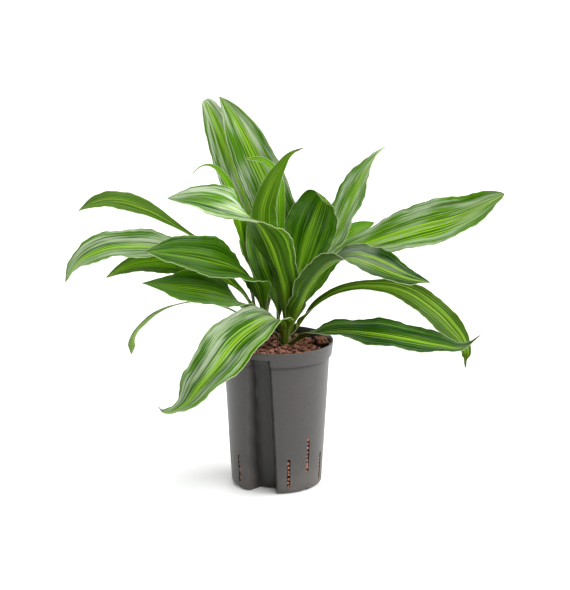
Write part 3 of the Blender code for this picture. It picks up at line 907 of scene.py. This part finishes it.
@dataclass
class GranuleBed:
    """Loose clay granules: a heap on top, more behind the slots, and a dark filling that is
    painted shade between them.
    """

    pot: CulturePot
    shoots: tuple["Shoot", ...]
    finish: ClayFinish = ClayFinish()
    fill_z: float = FILL_Z
    layers: tuple[Pair, ...] = ((1.4, 2.6), (-4.5, 1.2))
    sizes: Pair = (0.66, 1.05)
    slot_sizes: Pair = (0.42, 0.62)
    shelf_sizes: Pair = (0.6, 0.8)
    shelf_radii: tuple[float, ...] = (56.5, 62.0, 67.0)
    slots_below_z: float = 100.0
    pebble_radius: float = 4.2
    pitch: float = 7.6
    layer_shift: float = 0.4
    stray: float = 1.5
    squash: float = 0.2
    stem_room: float = 0.6
    shelf_turns: Place = (-13.0, 14.0, 5.2)
    filling_gap: float = 5.5
    filling_steps: int = 96
    smooth_angle: float = 80.0
    kinds: int = 5
    seed: int = 12

    def __post_init__(self) -> None:
        """Start the source of randomness for the spots and turns of the pebbles."""
        self.chance = np.random.default_rng(self.seed)

    def pebbles(self) -> list[Thing]:
        """Model a few knobbly pebbles of unit size.

        Returns:
            The pebbles to copy.
        """
        made = []
        chance = np.random.default_rng(self.seed)
        for kind in range(self.kinds):
            made.append(add(bpy.ops.mesh.primitive_ico_sphere_add, f"pebble_{kind}",
                            subdivisions=2, radius=1.0))
            with editing():
                bpy.ops.transform.vertex_random(offset=0.17, uniform=0.3, normal=0.8, seed=kind)
                growth = 1.0 + chance.uniform(-self.squash, self.squash, 3)
                bpy.ops.transform.resize(value=tuple(growth), center_override=(0.0, 0.0, 0.0))
        return made

    def clear_of_stems(self, middle: Vector, size: float) -> bool:
        """Whether a pebble with this middle and radius stays outside both stems."""
        stems = (shoot.at(middle.z - self.fill_z) for shoot in self.shoots)
        return all(math.hypot(middle.x - axis.x, middle.y - axis.y)
                   >= radius + self.stem_room * size for axis, radius in stems)

    def top_spots(self) -> Iterator[Spot]:
        """Scatter the pebbles of the heap, in rows that are shifted and shaken.

        Yields:
            Middle and radius of each pebble, in millimetres.
        """
        row_pitch = self.pitch * math.sqrt(3.0) / 2.0
        rows = int((self.pot.collar_foot_radius - self.pot.wall) / row_pitch) + 2
        for layer, (lift, spread) in enumerate(self.layers):
            for row in range(-rows, rows + 1):
                for column in range(-rows - 2, rows + 3):
                    size = self.pebble_radius * self.chance.uniform(*self.sizes)
                    x = (column + 0.5 * (row % 2) + self.layer_shift * layer) * self.pitch
                    y = (row + self.layer_shift * layer) * row_pitch
                    x += self.chance.uniform(-self.stray, self.stray)
                    y += self.chance.uniform(-self.stray, self.stray)
                    z = self.fill_z + lift + self.chance.uniform(-spread, spread)
                    middle = Vector((x, y, z))
                    if self.pot.holds(middle, size) and self.clear_of_stems(middle, size):
                        yield middle, size

    def slot_spots(self) -> Iterator[Spot]:
        """Line up the pebbles that show through the watering slots.

        Yields:
            Middle and radius of each pebble.
        """
        for lobe in self.pot.lobe_bearings:
            for bearing, (low, high) in self.pot.slots(lobe):
                z = low + 1.0
                while z < high + 3.0:
                    size = self.pebble_radius * self.chance.uniform(*self.slot_sizes)
                    way = bearing + self.chance.uniform(-0.8, 0.8)
                    radius = self.pot.wall_radius(z) - 0.2 - size * self.chance.uniform(1.0, 1.2)
                    yield around(radius, way, z), size
                    z += size * self.chance.uniform(1.5, 2.9)

    def shelf_spots(self) -> Iterator[Spot]:
        """Spread small pebbles on the flutes' roofs, inside the rim.

        Yields:
            Middle and radius of each pebble.
        """
        roof = self.pot.flute_roof_z + self.pot.roof_wall
        for bearing in self.pot.flute_bearings:
            for radius in self.shelf_radii:
                for turn in np.arange(*self.shelf_turns):
                    size = self.pebble_radius * self.chance.uniform(*self.shelf_sizes)
                    way = bearing + turn + self.chance.uniform(-self.stray, self.stray)
                    yield around(radius, way, roof + size * self.chance.uniform(0.5, 0.8)), size

    def filling(self) -> Thing:
        """Model the dark body under and behind the loose pebbles, painted as the shade between
        them.

        Returns:
            The body.
        """
        pot, inset = self.pot, self.pot.wall + self.filling_gap
        profile = [(pot.wall_radius(7.0) - inset - 3.0, 7.0)]
        profile += [(pot.wall_radius(z) - inset, z) for z in (11.0, 60.0, 120.0)]
        profile += [(pot.wall_radius(160.0) - pot.wall - 3.0, self.fill_z - 9.0),
                    (pot.wall_radius(160.0) - pot.wall - 4.0, self.fill_z - 6.0)]
        body = turned("granule_bed", profile, self.filling_steps)
        above_all, skinless = 999.0, -99.0
        pot.press(body, above_all, skin=skinless)
        body.data.materials.append(self.finish.dark())
        write_numbers(body.data, tone=0.0, low=0.0)
        return body

    def pebble(self, kinds: list[Thing], spot: Vector, size: float) -> Thing:
        """Lay a turned copy of one of the pebbles, paler where light reaches it.

        Args:
            kinds: the pebbles to copy.
            spot: the copy's middle.
            size: its radius.

        Returns:
            The copy.
        """
        master = kinds[self.chance.integers(self.kinds)]
        copy = bpy.data.objects.new("pebble", master.data.copy())
        bpy.context.scene.collection.objects.link(copy)
        turn = Quaternion(self.chance.normal(size=4)).normalized()
        copy.matrix_world = (Matrix.Translation(spot * MM) @ turn.to_matrix().to_4x4()
                             @ Matrix.Scale(size * MM, 4))
        tone = float(self.chance.uniform(0.0, 1.0))
        lit = Vector((0.0, 0.0, 1.0))
        # Pebbles behind the slots get a lighter tone as painted light from outside, and their
        # painted shade turns inward.
        if spot.z < self.slots_below_z:
            tone = 0.5 + 0.5 * tone
            lit = Vector((spot.x, spot.y, 0.0)).normalized()
        heights = points_of(copy.data) @ np.array(turn.inverted() @ lit) * MM
        write_numbers(copy.data, tone=tone, low=smooth_step(0.85 - heights))
        return copy

    def build(self) -> None:
        """Model and dress the bed."""
        kinds = self.pebbles()
        parts = [self.filling()]
        clay = self.finish.material()
        for spot, size in [*self.top_spots(), *self.slot_spots(), *self.shelf_spots()]:
            parts.append(self.pebble(kinds, spot, size))
            parts[-1].data.materials.append(clay)
        for master in kinds:
            bpy.data.objects.remove(master, do_unlink=True)
        bed = join("granule_bed", parts)
        settle(bed, self.smooth_angle)
        hand_over(bed, ("granules",), "clay_granules")


# Stems

@dataclass
class Shoot:
    """A short upright stem whose axis runs from foot to head."""

    node: str
    foot: Place
    head: Place
    foot_radius: float
    head_radius: float
    fill_z: float = FILL_Z
    ring_pitch: float = 2.5
    steps: int = 40
    smooth_angle: float = 60.0

    def axis(self) -> Vector:
        """The way from the foot to the head."""
        return Vector(self.head) - Vector(self.foot)

    def radius(self, share: float) -> float:
        """Radius a share of the way up the axis."""
        return between((self.foot_radius, self.head_radius), share)

    def at(self, height: float) -> Spot:
        """Axis point and radius at a height above the granules."""
        share = (self.fill_z + height - self.foot[2]) / (self.head[2] - self.foot[2])
        return Vector(self.foot).lerp(Vector(self.head), share), self.radius(share)

    def profile(self, ringed: list[float]) -> list[Pair]:
        """Rings of the stem, with a shallow step at each leaf scar.

        Args:
            ringed: the scars' places along the axis.

        Returns:
            Radius and place of each ring.
        """
        length = self.axis().length
        rings = [(self.foot_radius * 0.8, 0.0), (self.foot_radius, 1.2)]
        for place in np.arange(6.0, length - 3.0, self.ring_pitch):
            unevenness = 1.0 + 0.012 * math.sin(place * 1.7)
            rings.append((self.radius(place / length) * unevenness, place))
        for place in ringed:
            if 8.0 < place < length - 4.0:
                rings += [(self.radius(place / length) + out, place + up) for out, up in
                          ((-0.25, -1.3), (0.28, -0.7), (0.3, -0.2), (-0.2, 0.3))]
        rings += [(self.head_radius, length - 2.0), (self.head_radius * 0.8, length - 0.6),
                  (self.head_radius * 0.35, length)]
        return sorted(rings, key=lambda ring: ring[1])

    def build(self, material: Material, scars: list[float]) -> None:
        """Model and dress the stem.

        Args:
            material: the stems' material.
            scars: heights of the leaves' seats above the granules.
        """
        ringed = sorted(height + self.fill_z - self.foot[2] for height in scars)
        stem = turned(self.node.replace("stem_", "") + "_stem", self.profile(ringed), self.steps)
        z = points_of(stem.data)[:, 2]
        near = [smooth_step(1.0 - np.abs(z - place + 0.4) / 0.9) for place in ringed]
        write_numbers(stem.data, scar=np.maximum.reduce(near))
        stem.rotation_mode = "QUATERNION"
        stem.rotation_quaternion = self.axis().to_track_quat("Z", "Y")
        stem.location = Vector(self.foot) * MM
        stem.data.materials.append(material)
        settle(stem, self.smooth_angle)
        hand_over(stem, (self.node,), "stem")


# Leaves

class Twist(Enum):
    """How a leaf keeps its roll along its route."""

    LEVEL = "Z_UP"
    CARRIED = "MINIMUM"


class Look(Enum):
    """Colouring of a leaf: the numbers of LOOK_NAMES, from lime streaks to painted sheen."""

    # The last number of each look is its share of painted sheen.
    DEEP = (0.55, 0.0, 0.45, 0.0, 0.1)
    # DARK paints the shade that the low right leaf lies in.
    DARK = (0.4, 0.05, -0.2, 0.0, 0.1)
    OLIVE = (0.4, 0.55, 0.0, 0.0, 0.05)
    GREEN = (0.6, 0.05, 0.35, 0.0, 0.2)
    FULL_SHEEN = (0.6, 0.0, 0.35, 0.0, 0.95)
    MISTY = (0.5, 0.0, -0.5, 0.0, 0.3)
    SHEENY = (0.8, 0.0, 0.25, 0.0, 0.75)
    STRIPED = (1.0, 0.1, 0.5, 0.0, 0.7)
    BRIGHT = (1.0, 0.05, 0.75, 0.0, 1.1)
    YOUNG = (0.8, 0.15, 1.1, 0.0, 0.0)
    YELLOWED = (0.6, 0.9, -0.6, 0.0, 0.0)
    WITHERED = (1.2, 0.9, 1.2, 1.0, 1.1)
    SPOTTED = (1.7, 0.5, 1.9, 1.0, 0.2)
    SHADED = (0.2, 0.0, -0.3, 0.0, 0.0)


@dataclass
class Leaf:
    """One broad leaf on the route of its node.

    way holds x, y, z and roll of the points that it passes after it has left its stem.
    """

    node: str
    shoot: Shoot
    bearing: float
    height: float
    lean: float
    width: float
    look: Look
    way: tuple[tuple[float, float, float, float], ...]
    slot: str = "leaf_green"
    cup: float = 16.0
    wave: float = 2.0
    phase: float = 0.0
    twist: Twist = Twist.LEVEL
    stalk: float = 4.4
    start: float = 0.08
    rise: float = 1.15
    fall: float = 0.8
    dry_tip: float = 0.0
    thickness: float = 0.7
    tip_half_width: float = 0.8
    seat_margin: float = 0.9
    base_fold: float = 36.0
    base_run: float = 16.0
    fold_at_midrib: float = 0.3
    fold_gain: float = 1.2
    most_turn: float = 70.0
    wave_length: float = 64.0
    notches: Pair = (0.018, 0.02)
    notch_lengths: Place = (5.3, 13.0, 21.0)
    ripple: float = 1.1
    ripple_lengths: Pair = (2.9, 9.7)
    pleats: float = 0.4
    pleat_rates: Pair = (21.0, 34.0)
    midrib: Pair = (0.75, 1.5)
    rows: int = 120
    columns: int = 28
    resolution: int = 24
    smooth_angle: float = 50.0

    def seat_gap(self, radius: float) -> float:
        """Gap from the stem that keeps the folded base just clear of it.

        Args:
            radius: the stem's radius at the seat.

        Returns:
            The gap between the stem and the midrib.
        """
        gap = self.seat_margin
        fold = math.radians(self.base_fold)
        inner, outer = (fold * (self.fold_at_midrib + self.fold_gain * share)
                        for share in (0.25, 0.75))
        for run in (0.0, 0.5):
            side = self.stalk * (0.5 * math.cos(inner) + run * math.cos(outer))
            lift = self.stalk * (0.5 * math.sin(inner) + run * math.sin(outer))
            toward = lift * math.cos(math.radians(self.lean))
            chord = math.sqrt(max((radius + self.seat_margin) ** 2 - side ** 2, 0.0))
            gap = max(gap, chord - radius + toward)
        return gap

    def facing_turn(self, travel: Vector) -> float:
        """Roll that makes a steep blade face away from its stem.

        Args:
            travel: the way the blade runs.

        Returns:
            The roll in degrees.
        """
        turn = wrapped(self.bearing - math.degrees(math.atan2(travel.y, travel.x)))
        return max(-self.most_turn, min(self.most_turn, turn))

    def stations(self) -> list[tuple[float, float, float, float]]:
        """Points of the leaf's route, from its seat on the stem to its tip.

        Returns:
            x, y, z and roll of each point.
        """
        axis, radius = self.shoot.at(self.height)
        outward = around(1.0, self.bearing)
        lean = math.radians(self.lean)
        seat = axis + outward * (radius + self.seat_gap(radius))
        up = self.shoot.axis().normalized()
        rise = up * math.cos(lean) + outward * math.sin(lean)
        knee = seat + rise * self.base_run
        seat_roll = knee_roll = self.facing_turn(rise)
        if self.twist is Twist.LEVEL:
            knee_roll = self.facing_turn(Vector(self.way[0][:3]) - seat)
        return [(*seat, seat_roll), (*knee, 0.5 * knee_roll), *self.way]

    def route(self) -> tuple[Thing, float]:
        """Curve that the leaf follows.

        Returns:
            The curve and its length in millimetres.
        """
        stations = self.stations()
        guide = add(bpy.ops.curve.primitive_bezier_curve_add, "leaf_route")
        curve = guide.data
        curve.dimensions = "3D"
        curve.twist_mode = self.twist.value
        curve.resolution_u = self.resolution
        spline = curve.splines[0]
        spline.bezier_points.add(len(stations) - 2)
        for knot, (x, y, z, roll) in zip(spline.bezier_points, stations):
            knot.co = Vector((x, y, z)) * MM
            knot.handle_left_type = knot.handle_right_type = "AUTO"
            knot.tilt = math.radians(roll)
        bpy.context.view_layer.update()
        return guide, spline.calc_length() / MM

    def half_width(self, share: Array) -> Array:
        """Half width along the leaf: a narrow stalk, then a lance-shaped blade.

        Args:
            share: places along the leaf, from 0 to 1.

        Returns:
            The half width in millimetres.
        """
        swell = np.clip((share - self.start) / (1.0 - self.start), 0.0, 1.0)
        widest = self.rise / (self.rise + self.fall)
        lance = ((swell / widest) ** self.rise * ((1.0 - swell) / (1.0 - widest)) ** self.fall)
        stalk = self.stalk * (1.0 - smooth_step((share - 0.25) / 0.75))
        tip = self.tip_half_width * smooth_step(share)
        return np.hypot(self.width / 2.0 * lance, stalk) + tip

    def shape(self, sheet: Thing, length: float) -> None:
        """Give a flat sheet the leaf's outline, fold, midrib, pleats and waves.

        Args:
            sheet: a grid from -1 to 1 both ways.
            length: the leaf's length in millimetres.
        """
        flat = points_of(sheet.data) * MM
        share, across = (flat[:, 0] + 1.0) / 2.0, flat[:, 1]
        size, sign, travel = np.abs(across), np.sign(across), share * length
        quick, middling, slow = (travel / step for step in self.notch_lengths)
        notch = self.notches[0] * (np.sin(quick + self.phase) * np.sin(middling))
        notch += self.notches[1] * np.sin(slow + self.phase * 2.0 + sign)
        half = self.half_width(share) * (1.0 + notch * sign)
        opening = smooth_step(share / 0.4)
        fold = np.radians(self.base_fold * (1.0 - opening)
                          + self.cup * opening * (1.0 - 0.4 * share))
        start, gain = fold * self.fold_at_midrib, fold * self.fold_gain
        end = start + gain * size
        side = half * (np.sin(end) - np.sin(start)) / gain
        lift = half * (np.cos(start) - np.cos(end)) / gain
        broad = smooth_step((half - 8.0) / 10.0)
        turns = 2.0 * math.pi * travel / self.wave_length
        wave = self.wave * np.sin(turns + self.phase + sign * 0.8) * across ** 2
        fine, coarse = (travel / step for step in self.ripple_lengths)
        frill = self.ripple * size ** 4 * (np.sin(fine + self.phase * 3.0 + sign * 1.3)
                                           * np.sin(coarse + self.phase + sign))
        deep, reach = self.midrib
        midrib = -deep * np.exp(-(size * half / reach) ** 2) * (1.0 - 0.7 * share)
        wide, narrow = (across * rate for rate in self.pleat_rates)
        pleat = self.pleats * (np.cos(wide + self.phase) + 0.6 * np.cos(narrow + 1.0))
        pleat *= (1.0 - size ** 4) * (1.0 - 0.6 * share)
        height = lift + midrib + (wave + frill + pleat) * broad
        move_points(sheet.data, np.stack((travel, sign * side, height), axis=1))
        write_numbers(sheet.data, along=share, across=across, edge=half * (1.0 - size),
                      left=length - travel - self.dry_tip,
                      seed=self.phase * 3.7 + self.bearing * 0.11,
                      **dict(zip(LOOK_NAMES, self.look.value)))

    def build(self, material: Material, limits: Array) -> None:
        """Model and dress the leaf.

        Args:
            material: the leaves' material.
            limits: lowest and highest corner of the whole plant, in millimetres.
        """
        guide, length = self.route()
        leaf = add(bpy.ops.mesh.primitive_grid_add,
                   self.node.replace("leaf_", "") + "_leaf", size=2.0,
                   x_subdivisions=self.rows, y_subdivisions=self.columns)
        self.shape(leaf, length)
        modify(leaf, "CURVE", object=guide, deform_axis="POS_X")
        bpy.data.objects.remove(guide, do_unlink=True)
        count = len(leaf.data.vertices)
        normals = np.empty(count * 3)
        leaf.data.vertex_normals.foreach_get("vector", normals)
        modify(leaf, "SOLIDIFY", thickness=self.thickness * MM, offset=0.0)
        points = points_of(leaf.data)
        first, second = slice(count), slice(count, 2 * count)
        apart = ((points[first] - points[second]) * normals.reshape(-1, 3)).sum(1)
        move_points(leaf.data, np.clip(points, *limits))
        under = np.zeros(len(points))
        under[first if apart.mean() < 0.0 else second] = 1.0
        write_numbers(leaf.data, under=under)
        leaf.data.materials.append(material)
        settle(leaf, self.smooth_angle)
        hand_over(leaf, (self.node,), self.slot)


FRONT = Shoot("stem_front", (5.0, 16.0, 94.0), (17.7, 20.2, 252.0), 7.5, 4.6)
REAR = Shoot("stem_rear", (-24.0, 34.0, 119.0), (-15.5, 41.5, 238.0), 6.8, 4.4)

LEAVES = (
    # Front shoot, from the lowest leaf up
    Leaf("leaf_front_low", FRONT, 248, 6, 18, 67, Look.SHEENY, ((9, -7, 216, 0),
          (3, -20, 226, -5), (-11, -34, 230, -15), (-29, -52, 226, -25), (-53, -75, 213, -30),
          (-75, -95, 190, -30), (-97, -108, 164, -20), (-120, -117, 138, -5),
          (-142, -122, 132, 0), (-149, -124, 141, 0)), wave=2.5, stalk=6.0, start=0.0, rise=1.0,
         dry_tip=8.0),
    Leaf("leaf_right_low", FRONT, 331, 3, 56, 41, Look.DARK, ((49, -8, 204, 0),
          (85, -14, 210, 25), (125, -24, 210, 40), (169, -32, 205, 42), (213, -38, 198, 35),
          (243, -42, 196, 10), (264, -46, 213, 0)), wave=3.0, stalk=6.7, start=0.0, rise=0.9,
         dry_tip=9.0),
    Leaf("leaf_right_droop", FRONT, 15, 14, 35, 39, Look.YELLOWED, ((39, 15, 223, 0),
          (64, 18, 247, 25), (94, 20, 260, 40), (130, 22, 262, 45), (166, 22, 255, 50),
          (200, 22, 234, 50), (230, 20, 206, 45), (250, 16, 178, 35), (251, 14, 152, 10)),
         slot="leaf_pale", stalk=7.0, start=0.28, rise=1.9, fall=1.2),
    Leaf("leaf_right_fold", FRONT, 315, 20, 18, 70, Look.MISTY, ((31, -1, 238, 0),
          (44, -9, 267, 0), (64, -19, 294, 0), (86, -36, 310, 0), (112, -56, 310, 10),
          (140, -71, 302, 25), (166, -80, 295, 25), (194, -86, 292, 10)), cup=34.0, stalk=5.5,
         start=0.0, rise=0.87),
    Leaf("leaf_right_long", FRONT, 2, 40, 26, 65, Look.STRIPED, ((50, 31, 276, 10),
          (84, 32, 302, 30), (128, 20, 322, 45), (186, 6, 344, 50), (237, 0, 360, 45),
          (294, -8, 391, 30)), slot="leaf_striped", phase=1.0, start=0.2, fall=0.68),
    Leaf("leaf_front_fold", FRONT, 252, 36, 16, 68, Look.FULL_SHEEN, ((10, -4, 266, 0),
          (1, -16, 300, 0), (-11, -34, 336, 0), (-27, -52, 364, -8), (-52, -69, 383, -30),
          (-89, -80, 397, -42), (-136, -84, 400, -20)), stalk=6.0, start=0.0, rise=1.0),
    Leaf("leaf_right_rear", FRONT, 39, 26, 30, 44, Look.YOUNG, ((48, 42, 254, 0),
          (68, 60, 286, 10), (96, 78, 319, 25), (131, 92, 333, 25)), slot="leaf_striped",
         stalk=5.0, start=0.0),
    Leaf("leaf_centre", FRONT, 70, 60, 10, 72, Look.DEEP, ((28, 34, 270, 10), (36, 37, 298, 20),
          (45, 39, 330, 22), (54, 37, 358, 22), (60, 29, 376, 22), (64, 16, 381, 22),
          (63, 6, 377, 22)), slot="leaf_striped", cup=22.0, phase=2.0, twist=Twist.CARRIED,
         rise=1.0),
    Leaf("leaf_right_upright", FRONT, 55, 44, 22, 51, Look.BRIGHT, ((38, 46, 266, 10),
          (58, 60, 292, 25), (79, 66, 322, 30), (95, 69, 360, 30), (112, 72, 396, 25),
          (129, 72, 425, 15), (143, 68, 440, 0)), start=0.2),
    Leaf("leaf_top_tall", FRONT, 115, 40, 16, 64, Look.BRIGHT, ((13, 48, 284, -10),
          (5, 56, 338, -20), (-9, 62, 382, -25), (-26, 70, 419, -25), (-44, 80, 454, -20),
          (-63, 92, 486, -10), (-76, 104, 501, 0)), cup=22.0, twist=Twist.CARRIED, rise=1.15,
         fall=1.0),
    Leaf("leaf_front_upright", FRONT, 232, 62, 13, 36, Look.YOUNG, ((1, 8, 294, 0),
          (-13, 5, 330, 0), (-18, 4, 362, 0), (-9, 4, 396, 0), (6, 5, 426, 0), (18, 7, 441, 0),
          (34, 9, 448, 0)), slot="leaf_striped", phase=1.5, twist=Twist.CARRIED, rise=1.1,
         fall=1.5, dry_tip=8.0),
    Leaf("leaf_top_slender", FRONT, 168, 56, 12, 20, Look.YOUNG, ((5, 24, 294, 0),
          (4, 26, 334, 0), (4, 28, 372, 0), (0, 29, 408, 0), (-16, 30, 427, 0),
          (-40, 28, 431, 0)), slot="leaf_striped", twist=Twist.CARRIED),
    Leaf("leaf_back_mid", FRONT, 100, 30, 26, 50, Look.GREEN, ((14, 66, 280, 0), (8, 102, 306, 0),
          (4, 142, 314, 0), (1, 178, 302, 0), (0, 205, 274, 0))),
    Leaf("leaf_back_right", FRONT, 75, 18, 36, 48, Look.GREEN, ((34, 66, 258, 0),
          (50, 98, 288, 0), (61, 134, 298, 0), (70, 170, 290, 0), (74, 197, 266, 0)), phase=2.5),
    Leaf("leaf_short", FRONT, 182, 2, 26, 20, Look.SHADED, ((-12, 10, 203, 0), (-19, 4, 204, 0),
          (-26, -4, 200, 0)), slot="leaf_shaded", wave=0.0, stalk=3.6),
    Leaf("leaf_side_slender", FRONT, 182, 22, 24, 34, Look.GREEN, ((0, 24, 233, -30),
          (-7, 30, 260, -65), (-18, 24, 294, -85), (-25, 26, 326, -90), (-25, 34, 352, -90),
          (-20, 39, 370, -90)), slot="leaf_shaded", phase=2.0, twist=Twist.CARRIED, start=0.0),
    # Rear shoot, from the lowest leaf up
    Leaf("leaf_left_low", REAR, 245, 12, 34, 62, Look.DEEP, ((-36, 12, 226, 0),
          (-50, -4, 247, -15), (-73, -23, 262, -30), (-101, -38, 272, -40), (-137, -46, 278, -35),
          (-172, -50, 283, -15)), rise=0.95, fall=1.0),
    Leaf("leaf_left_thin", REAR, 190, 8, 42, 20, Look.WITHERED, ((-50, 38, 218, 0),
          (-73, 34, 231, 0), (-102, 30, 238, 0), (-128, 28, 236, 0), (-155, 24, 226, 0),
          (-175, 20, 211, 0), (-190, 16, 192, 0), (-193, 12, 171, 0)), slot="leaf_pale",
         stalk=3.0, start=0.55, rise=1.3, fall=1.0),
    Leaf("leaf_left_fold", REAR, 262, 30, 16, 68, Look.DEEP, ((-24, 17, 250, 0),
          (-32, 2, 274, -10), (-50, -16, 294, -30), (-81, -34, 310, -42), (-123, -48, 321, -40),
          (-166, -56, 326, -20)), phase=1.0, rise=0.95),
    Leaf("leaf_left_under", REAR, 212, 22, 28, 35, Look.SPOTTED, ((-36, 30, 236, 0),
          (-56, 27, 260, -15), (-85, 26, 278, -30), (-127, 25, 291, -45), (-167, 22, 293, -45),
          (-199, 18, 287, -35), (-224, 14, 275, -15)), slot="leaf_pale", stalk=7.5, start=0.1),
    Leaf("leaf_left_long", REAR, 180, 34, 28, 61, Look.SHEENY, ((-38, 42, 257, 0),
          (-62, 38, 280, -10), (-98, 28, 299, -20), (-146, 14, 314, -25), (-197, 2, 320, -25),
          (-235, -8, 314, -20), (-261, -16, 298, -10), (-274, -20, 277, 0)), phase=2.0,
         start=0.14, rise=1.3, fall=0.68),
    Leaf("leaf_left_high", REAR, 142, 46, 26, 30, Look.OLIVE, ((-38, 58, 266, 0),
          (-67, 66, 292, -20), (-106, 70, 315, -35), (-146, 72, 340, -45), (-176, 72, 356, -45),
          (-215, 70, 367, -40), (-242, 68, 364, -25), (-264, 64, 354, 0)), stalk=3.0, start=0.42,
         rise=1.6, fall=0.7),
    Leaf("leaf_left_upright", REAR, 225, 50, 12, 27, Look.YOUNG, ((-28, 34, 266, -10),
          (-41, 32, 305, -30), (-50, 31, 348, -40), (-60, 30, 386, -40), (-71, 28, 409, -30),
          (-84, 26, 421, -20), (-97, 22, 422, 0), (-110, 18, 412, 0)), slot="leaf_striped",
         phase=3.0, rise=0.9, fall=1.25, dry_tip=5.0),
    Leaf("leaf_top_left", REAR, 90, 54, 14, 50, Look.BRIGHT, ((-20, 64, 294, 0),
          (-37, 78, 353, 0), (-54, 92, 400, 0), (-71, 106, 444, 0), (-85, 122, 474, 0),
          (-95, 140, 488, 0), (-100, 156, 488, 0)), phase=1.0, twist=Twist.CARRIED, fall=0.95),
    Leaf("leaf_back_left", REAR, 80, 24, 28, 46, Look.GREEN, ((-18, 84, 262, 0),
          (-26, 118, 284, 0), (-34, 154, 292, 0), (-40, 188, 278, 0))),
)


@dataclass
class Plant:
    """Both shoots with all their leaves."""

    leaves: tuple[Leaf, ...]
    shoots: tuple[Shoot, ...]
    leaf_finish: LeafFinish = LeafFinish()
    stem_finish: StemFinish = StemFinish()

    def build(self, limits: Array) -> None:
        """Model and dress the stems and the leaves.

        Args:
            limits: lowest and highest corner of the whole plant, in millimetres.
        """
        stem_material = self.stem_finish.material()
        leaf_material = self.leaf_finish.material()
        for shoot in self.shoots:
            scars = [leaf.height for leaf in self.leaves if leaf.shoot is shoot]
            shoot.build(stem_material, scars)
        for leaf in self.leaves:
            leaf.build(leaf_material, limits)


# Studio

@dataclass(frozen=True)
class Lamp:
    """One soft square lamp, aimed at the plant."""

    name: str
    place: Place
    size: float
    power: float


@dataclass(frozen=True)
class Skylight:
    """Broad even light from one side of the ceiling."""

    name: str
    place: Place
    spread: float
    strength: float


@dataclass
class Studio:
    """White floor, bright surroundings, soft lamps and the camera."""

    target: Place = (0.011, 0.0, 0.255)
    distance: float = 2.5
    elevation: float = 13.9
    lens: float = 116.42
    farthest: float = 100.0
    floor_size: float = 30.0
    surroundings: float = 0.36
    skylight: Skylight = Skylight("key_light", (1.7, -0.9, 2.2), 80.0, 3.5)
    lamps: tuple[Lamp, ...] = (
        Lamp("left_rim_lamp", (-1.7, 1.0, 0.8), 1.3, 14.0),
        Lamp("right_rim_lamp", (1.8, 0.6, 0.8), 1.5, 24.0),
        Lamp("back_lamp", (-0.3, 2.2, 1.8), 2.0, 40.0),
    )

    def light(self) -> None:
        """Set the surroundings and hang the lamps."""
        world = bpy.data.worlds.new("studio_world")
        world.use_nodes = True
        background = world.node_tree.nodes["Background"].inputs
        background["Color"].default_value = (1, 1, 1, 1)
        background["Strength"].default_value = self.surroundings
        bpy.context.scene.world = world
        sky = self.skylight
        sun = add(bpy.ops.object.light_add, sky.name, type="SUN", location=sky.place)
        sun.data.angle = math.radians(sky.spread)
        sun.data.energy = sky.strength
        sun.rotation_euler = facing(sky.place, (0.0, 0.0, 0.0))
        for lamp in self.lamps:
            light = add(bpy.ops.object.light_add, lamp.name, type="AREA", location=lamp.place)
            light.data.size = lamp.size
            light.data.energy = lamp.power
            light.visible_camera = False
            light.rotation_euler = facing(lamp.place, self.target)

    def lay_floor(self) -> None:
        """Lay the floor under the pot."""
        floor = add(bpy.ops.mesh.primitive_plane_add, "studio_floor", size=self.floor_size)
        floor.data.materials.append(FloorFinish().material())
        floor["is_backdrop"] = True

    def set_camera(self) -> None:
        """Place the camera at the photograph's angle."""
        tilt = math.radians(self.elevation)
        away = Vector((0.0, -math.cos(tilt), math.sin(tilt))) * self.distance
        camera = add(bpy.ops.object.camera_add, "photo_camera",
                     location=Vector(self.target) + away,
                     rotation=(math.pi / 2.0 - tilt, 0.0, 0.0))
        camera.data.lens = self.lens
        camera.data.clip_end = self.farthest
        bpy.context.scene.camera = camera

    def build(self) -> None:
        """Set up the whole studio."""
        self.set_camera()
        self.light()
        self.lay_floor()
        bpy.context.scene.view_settings.view_transform = "Standard"
        log.info("studio ready with %d lamps", len(self.lamps))


def main() -> None:
    """Build the studio and every piece."""
    logging.basicConfig(level=logging.INFO, format="%(name)s: %(message)s")
    solid_box = np.array(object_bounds())
    Studio().build()
    pot = CulturePot()
    pot.build()
    GranuleBed(pot, (FRONT, REAR)).build()
    Plant(LEAVES, (FRONT, REAR)).build(solid_box / MM)


if __name__ == "__main__":
    main()
